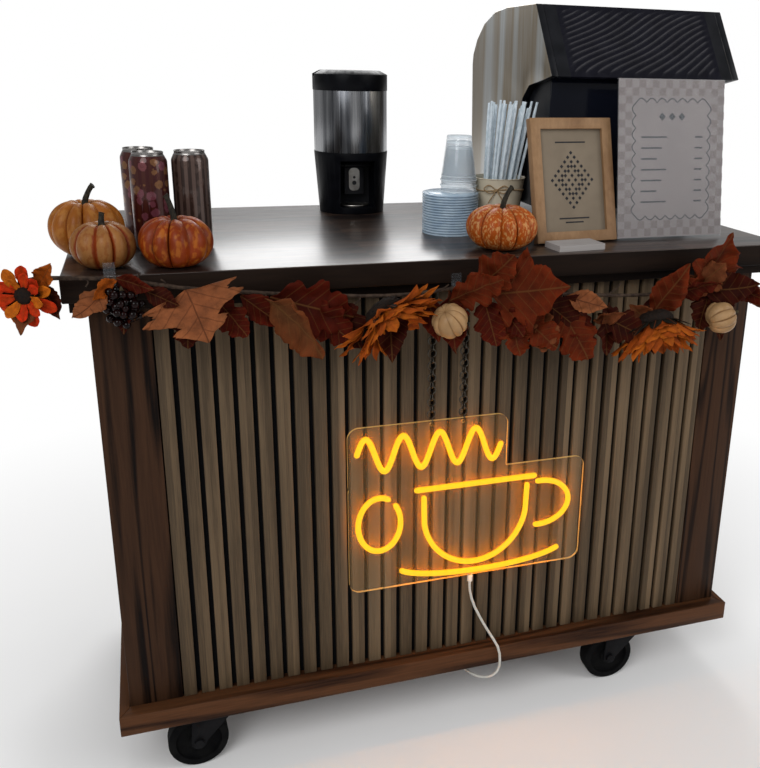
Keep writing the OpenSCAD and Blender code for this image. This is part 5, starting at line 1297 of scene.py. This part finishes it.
class CART_OT_cards(CartOperator, bpy.types.Operator):
    """Finishes the small frame, the clear menu stand and the printed cards"""

    bl_idname = "cart.cards"
    bl_label = "Frame and menu"

    # The frame's foot, its turn and its lean, and the menu's foot and lean
    frame_at, frame_foot, frame_turn, frame_lean = (0.149, -0.232), 0.016, 4, 14
    menu_at, menu_foot, menu_lean = (0.310, -0.221), 0.003, 8

    # The medallion: its middle and its plane, the steps between diamonds, their half width, and its rings
    medal, medal_face, medal_steps = (0.080, 0.1085), 0.0082, (0.0066, 0.0079)
    diamond, ink_half, rings = 0.0024, 0.0001, (1, 3, 4, 6)

    # Height and half width of the framed card's bars, and half their thickness
    bars, bar_half = ((0.174, 0.030), (0.042, 0.030), (0.035, 0.018)), 0.0012

    # The menu's checks: size, first corner, number across and up, and rows in the border
    check_size, check_from, checks, border = (0.0135, 0.00008, 0.01368), (0.0003, 0.00212, 0.0045), (16, 20), 2

    # The scalloped line: left, right, foot and head, waves across and up, their height and its radius
    line, waves, wave_high, line_r = (0.035, 0.181, 0.041, 0.239), (7, 9), 0.0075, 0.0010

    # The menu's rows: number, first height, step, thickness, half depth, start, length and play, and prices' ends
    rows, row_high, row_step, row_thick, row_half = 7, 0.178, 0.019, 0.0030, 0.0006
    row_from, row_long, row_play, prices = 0.046, 0.052, 0.010, (0.156, 0.172)

    # The diamonds at the menu's head: number to each side, middle, step and half width
    marks, mark_at, mark_step, mark_half = 1, (0.108, 0.215), 0.020, 0.005

    # The menu's ink: its plane, and its depth as a share of the drawing's
    ink_face, ink_flat = 0.0021, 0.07

    def frame_print(self, ink):
        """A medallion of small diamonds on the framed card, with a bar above and two below it."""
        rise = self.frame_foot * sin(radians(self.frame_lean))
        place = (moved((*self.frame_at, TOP_HIGH.z + rise)) @ tilted(self.frame_turn, "Z")
                 @ tilted(-self.frame_lean, "X"))
        bm = bmesh.new()
        corner = Vector((self.diamond, self.ink_half, self.diamond))
        across, high = self.medal
        most = max(self.rings)
        for i in range(-most, most + 1):
            for j in range(-most, most + 1):
                if abs(i) + abs(j) in self.rings:
                    at = Vector((across + self.medal_steps[0] * i, self.medal_face, high + self.medal_steps[1] * j))
                    block(bm, -corner, corner, moved(at) @ tilted(45, "Y"))
        for up, half in self.bars:
            block(bm, (across - half, self.medal_face - self.ink_half, up - self.bar_half),
                  (across + half, self.medal_face + self.ink_half, up + self.bar_half))
        bmesh.ops.transform(bm, matrix=place, verts=bm.verts)
        settle("framed_card_print", bm, ink)

    def scallops(self):
        """Points of the scalloped line around the menu."""
        left, right, foot, head = self.line
        wide, tall = (self.waves[0], right - left), (self.waves[1], head - foot)
        points = []
        sides = (((left, foot), (1, 0), (0, -1), wide), ((right, foot), (0, 1), (1, 0), tall),
                 ((right, head), (-1, 0), (0, 1), wide), ((left, head), (0, -1), (-1, 0), tall))
        for start, way, out, (count, run) in sides:
            for k in range(count * 8):
                t = k / (count * 8) * run
                swell = self.wave_high * abs(sin(pi * k / 8))
                points.append((start[0] + way[0] * t + out[0] * swell, 0, start[1] + way[1] * t + out[1] * swell))
        return points + points[:1]

    def menu_print(self, ink, tint):
        """A checked border, a scalloped line and plain bars on the menu's paper."""
        place = moved((*self.menu_at, TOP_HIGH.z + self.menu_foot)) @ tilted(-self.menu_lean, "X")
        bm = bmesh.new()
        across, up = self.checks
        (wide, thick, tall), (left, out, foot) = self.check_size, self.check_from
        for i in range(across):
            for j in range(up):
                if min(i, across - 1 - i, j, up - 1 - j) < self.border and (i + j) % 2 == 0:
                    low = Vector((left + i * wide, out, foot + j * tall))
                    block(bm, low, low + Vector((wide, thick, tall)))
        bmesh.ops.transform(bm, matrix=place, verts=bm.verts)
        settle("menu_checks", bm, tint)
        bm = bmesh.new()
        swept(bm, self.scallops(), self.line_r, 6)
        for row in range(self.rows):
            high = self.row_high - row * self.row_step
            words = (self.row_from, self.row_from + self.row_long - self.row_play * (row % 3))
            for left, right in (words, self.prices):
                block(bm, (left, -self.row_half, high), (right, self.row_half, high + self.row_thick))
        corner = Vector((self.mark_half, self.row_half, self.mark_half))
        for s in range(-self.marks, self.marks + 1):
            at = (self.mark_at[0] + s * self.mark_step, 0, self.mark_at[1])
            block(bm, -corner, corner, moved(at) @ tilted(45, "Y"))
        pressed = moved((0, self.ink_face, 0)) @ Matrix.Diagonal((1, self.ink_flat, 1, 1))
        bmesh.ops.transform(bm, matrix=place @ pressed, verts=bm.verts)
        settle("menu_print", bm, ink)

    def execute(self, context):
        c = self.colours
        oak = wood("frame oak", c.oak_dark, c.oak_light, (18, 18, 6), rings=16, rough=(0.42, 0.6))
        softened("payment_frame", oak, 0.0012)
        dressed("menu_stand", cloudy("menu acrylic", (0.74, 0.78, 0.82), (0.80, 0.84, 0.88), scale=6,
                                     rough=(0.04, 0.08), bump=0.0, Alpha=0.06, gloss=0.1))
        paper = cloudy("card paper", (0.165, 0.132, 0.096), (0.186, 0.150, 0.110), scale=30, grit=900,
                       rough=(0.75, 0.9), bump=0.2)
        sheet = cloudy("menu paper", (0.166, 0.140, 0.135), (0.186, 0.157, 0.151), scale=20, grit=900,
                       rough=(0.75, 0.9), bump=0.15)
        stack = wood("card edges", (0.24, 0.22, 0.21), (0.34, 0.32, 0.31), (3, 3, 900), rings=6, shade=0,
                     rough=(0.7, 0.85))
        bm = copied("printed_cards")
        for face in bm.faces:
            middle = face.calc_center_median()
            face.material_index = 1 if middle.x > 0.3095 else 2 if middle.z < TOP_HIGH.z + 0.012 else 0
        settle("printed_card_paper", bm, [paper, sheet, stack], ["printed_cards"])
        ink = cloudy("soft black ink", (0.010, 0.010, 0.012), (0.022, 0.022, 0.026), scale=200, rough=(0.6, 0.8))
        tint = cloudy("border tint", (0.122, 0.094, 0.088), (0.138, 0.108, 0.101), scale=160, rough=(0.75, 0.9))
        self.frame_print(ink)
        self.menu_print(ink, tint)
        return {"FINISHED"}


# The machines

class CART_OT_machine(CartOperator, bpy.types.Operator):
    """Finishes the coffee machine, with its ridged hood and brushed side panels"""

    bl_idname = "cart.machine"
    bl_label = "Coffee machine"

    # The machine's depth and height, the hood's depth, height and foot as shares of them, and its front
    deep, tall = 0.413, 0.403
    hood_deep, hood_tall, hood_foot, hood_front = 0.203, 0.305, 0.695, -0.134
    hood_grid, hood_border, hood_thick, ridge_high = (300, 90), 0.065, 0.0055, 0.0016

    # The ridges: number across, slant, bend at the foot and how fast it ends, and waver
    ridges, slant, foot_bend, bend_end, waver = 15, 12, 1.1, 9, 0.35

    # Shares of the steel's colour in the dark and the light grain of the side panels
    steel_dark, steel_light = (0.66, 0.56, 0.42), (1.12, 1.24, 1.36)

    def hood(self, material, border):
        """The hood's plate, with slanting wavy ridges pressed into its face, and their crests marked for a painted
        highlight.
        """
        low, high = (Vector(v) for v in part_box("machine_hood"))
        wide = high.x - low.x
        run = Vector((0, self.hood_deep * self.deep, self.hood_tall * self.tall))
        inward = Vector((0, run.z, -run.y)).normalized()
        start = Vector((low.x, self.hood_front, TOP_HIGH.z + self.hood_foot * self.tall))
        bm = groove_mesh()
        line = bm.verts.layers.float["groove"]
        columns, rows = self.hood_grid
        for v in bmesh.ops.create_grid(bm, x_segments=columns, y_segments=rows, size=0.5)["verts"]:
            across, up = v.co.x + 0.5, v.co.y + 0.5
            bend = self.foot_bend * exp(-self.bend_end * up)
            sway = self.waver * sin(2 * pi * (0.7 * up + 0.9 * across))
            flow = self.ridges * across - self.slant * up - bend + sway
            edge = max(0, min(1, 22 * (min(across, 1 - across) - self.hood_border), 9 * min(up, 1 - up)))
            # The groove layer holds the raised ridge crests, where the hood's material paints a lighter painted
            # highlight.
            v[line] = edge * (0.5 + 0.5 * sin(2 * pi * flow)) ** 4
            press = self.ridge_high * (edge - v[line]) + 0.0002
            v.co = start + Vector((across * wide, 0, 0)) + run * up + inward * press
        pushed = bmesh.ops.extrude_edge_only(bm, edges=[e for e in bm.edges if e.is_boundary])["geom"]
        skirt = [g for g in pushed if isinstance(g, bmesh.types.BMVert)]
        bmesh.ops.translate(bm, verts=skirt, vec=inward * self.hood_thick)
        bmesh.ops.edgeloop_fill(bm, edges=[g for g in pushed if isinstance(g, bmesh.types.BMEdge)])
        for face in bm.faces:
            across = (face.calc_center_median().x - low.x) / wide
            face.material_index = 0 if self.hood_border < across < 1 - self.hood_border else 1
        bmesh.ops.recalc_face_normals(bm, faces=bm.faces)
        settle("ridged_hood", bm, [material, border], ["machine_hood"])

    def execute(self, context):
        dark, light = ([c * share for c, share in zip(self.colours.steel, shares)]
                       for shares in (self.steel_dark, self.steel_light))
        brushed = wood("brushed panel", dark, light, (1, 22, 0.7), rings=26, shade=0, rough=(0.30, 0.42), Metallic=1.0)
        black = cloudy("machine black", (0.003, 0.0035, 0.005), (0.007, 0.0075, 0.010), scale=30, rough=(0.28, 0.42))
        gloss = cloudy("back panel gloss", (0.003, 0.004, 0.008), (0.005, 0.006, 0.011), scale=6, rough=(0.08, 0.16),
                       bump=0.02)
        # The hood's third colour, far lighter than its charcoal, is a painted highlight along the raised ridge crests.
        shade = rind("hood charcoal with painted ridge highlight", (0.005, 0.005, 0.009), (0.008, 0.008, 0.012), (0.034, 0.033, 0.038), 0.5, 60.0,
                     0.50, 0.08)
        chrome = cloudy("chrome", (0.62, 0.62, 0.62), (0.70, 0.70, 0.70), scale=40, rough=(0.08, 0.18), bump=0.0,
                        Metallic=1.0)
        tray = wood("tray steel", (0.40, 0.40, 0.41), (0.54, 0.54, 0.55), (6, 500, 500), rings=0, shade=0,
                    rough=(0.28, 0.4), Metallic=1.0)
        copper = cloudy("boiler copper", (0.50, 0.24, 0.13), (0.62, 0.32, 0.18), scale=30, rough=(0.28, 0.42),
                        Metallic=1.0)
        tank = cloudy("tank plastic", (0.52, 0.58, 0.62), (0.60, 0.66, 0.70), scale=20, rough=(0.2, 0.3), Alpha=0.75)
        handle = cloudy("handle black", (0.012, 0.011, 0.010), rough=(0.3, 0.45))
        knob = cloudy("knob black", (0.010, 0.010, 0.010), (0.018, 0.018, 0.018), rough=(0.35, 0.5))
        bm = copied("machine_side_panels")
        sharp = sharp_edges(bm)
        for face in bm.faces:
            face.material_index = 1 if face.normal.y < -0.25 or face.normal.z < -0.3 else 0
        rounded(bm, sharp, 0.0012)
        settle("brushed_side_panels", bm, [brushed, black], ["machine_side_panels"])
        self.hood(shade, black)
        for node, material in (("machine_chassis", black), ("machine_feet", black), ("machine_boiler", copper),
                               ("steam_wand", chrome)):
            dressed(node, material)
        for node, material, width in (("machine_back_panel", gloss, 0.0008), ("machine_water_tank", tank, 0.003),
                                      ("group_head", chrome, 0.0015), ("portafilter", handle, 0.0015),
                                      ("drip_tray", tray, 0.0006), ("steam_knob", knob, 0.0015),
                                      ("water_knob", knob, 0.0015)):
            softened(node, material, width)
        return {"FINISHED"}


class CART_OT_brewer(CartOperator, bpy.types.Operator):
    """Finishes the coffee brewer at the back of the counter"""

    bl_idname = "cart.brewer"
    bl_label = "Brewer"

    # The badge on the lever: its back, its middle above the lever's foot, half width and height, depth and corners
    badge_back, badge_high, badge_half, badge_deep, badge_corner = 0.1972, 0.030, (0.011, 0.023), 0.0014, 0.009

    # Rise from the badge's middle and radius of each of its dots
    dots, dot_out = ((0.004, 0.0028), (-0.007, 0.0045)), 0.0016

    # The plate in the bay: its place, height above the counter, radius, thickness and rounding
    plate_y, plate_high, plate_r, plate_thick, plate_round = 0.2, 0.0142, 0.030, 0.003, 0.0008

    def execute(self, context):
        black = cloudy("brewer black", (0.0012, 0.0014, 0.0024), (0.0030, 0.0033, 0.0048), scale=40,
                       rough=(0.28, 0.42), gloss=0.08)
        steel = wood("brewer steel", (0.050, 0.053, 0.060), (0.340, 0.345, 0.355), (42, 42, 0.5), rings=26, shade=0,
                     rough=(0.22, 0.34), Metallic=1.0)
        dark = cloudy("lever plastic", (0.008, 0.008, 0.009), (0.014, 0.014, 0.016), rough=(0.3, 0.42))
        silver = cloudy("lever silver", (0.30, 0.28, 0.25), (0.42, 0.40, 0.37), scale=90, rough=(0.25, 0.4),
                        Metallic=1.0)
        for node, material, width in (("brewer_base", black, 0.0015), ("brewer_tank", steel, 0.0008),
                                      ("brewer_lid", black, 0.0015), ("brewer_lever", dark, 0.0008)):
            softened(node, material, width)
        low, high = (Vector(v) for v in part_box("brewer_lever"))
        middle = Vector(((low.x + high.x) / 2, self.badge_back, low.z + self.badge_high))
        bm = bmesh.new()
        wide, tall = self.badge_half
        block(bm, middle - Vector((wide, self.badge_deep, tall)), middle + Vector((wide, 0, tall)))
        corners = [e for e in bm.edges if abs(e.verts[0].co.y - e.verts[1].co.y) > 0.001]
        rounded(bm, corners, self.badge_corner, 6)
        for rise, size in self.dots:
            made = bmesh.ops.create_circle(bm, cap_ends=True, radius=size, segments=20)["verts"]
            at = middle + Vector((0, -self.dot_out, rise))
            bmesh.ops.transform(bm, verts=made, matrix=moved(at) @ tilted(90, "X"))
            made[0].link_faces[0].material_index = 1
        settle("brewer_lever_badge", bm, [silver, dark], body="brewer_lever")
        bm = bmesh.new()
        bay = Vector((middle.x, self.plate_y, TOP_HIGH.z + self.plate_high))
        made = bmesh.ops.create_cone(bm, cap_ends=True, segments=40, radius1=self.plate_r, radius2=self.plate_r,
                                     depth=self.plate_thick)["verts"]
        bmesh.ops.translate(bm, verts=made, vec=bay + UP * 0.0017)
        rounded(bm, sharp_edges(bm), self.plate_round)
        settle("brewer_drip_plate", bm, silver)
        return {"FINISHED"}


STEPS = [CART_OT_stage, CART_OT_cord, CART_OT_woodwork, CART_OT_casters, CART_OT_sign, CART_OT_leaves, CART_OT_flowers,
         CART_OT_fruits, CART_OT_pumpkins, CART_OT_drinks, CART_OT_cards, CART_OT_machine, CART_OT_brewer]


class CART_PT_panel(bpy.types.Panel):
    """Lists the cart's steps in the sidebar"""

    bl_idname = "CART_PT_panel"
    bl_label = "Coffee cart"
    bl_space_type = "VIEW_3D"
    bl_region_type = "UI"
    bl_category = "Cart"

    def draw(self, context):
        for step in STEPS:
            self.layout.operator(step.bl_idname)


CLASSES = [CartColours, CartSizes, *STEPS, CART_PT_panel]


def register():
    for item in CLASSES:
        bpy.utils.register_class(item)
    bpy.types.Scene.cart_colours = PointerProperty(type=CartColours)
    bpy.types.Scene.cart_sizes = PointerProperty(type=CartSizes)


def unregister():
    del bpy.types.Scene.cart_colours
    del bpy.types.Scene.cart_sizes
    for item in reversed(CLASSES):
        bpy.utils.unregister_class(item)


def main():
    """Registers the cart and builds it step by step."""
    register()
    for step in STEPS:
        group, name = step.bl_idname.split(".")
        getattr(getattr(bpy.ops, group), name)()


if __name__ == "__main__":
    main()
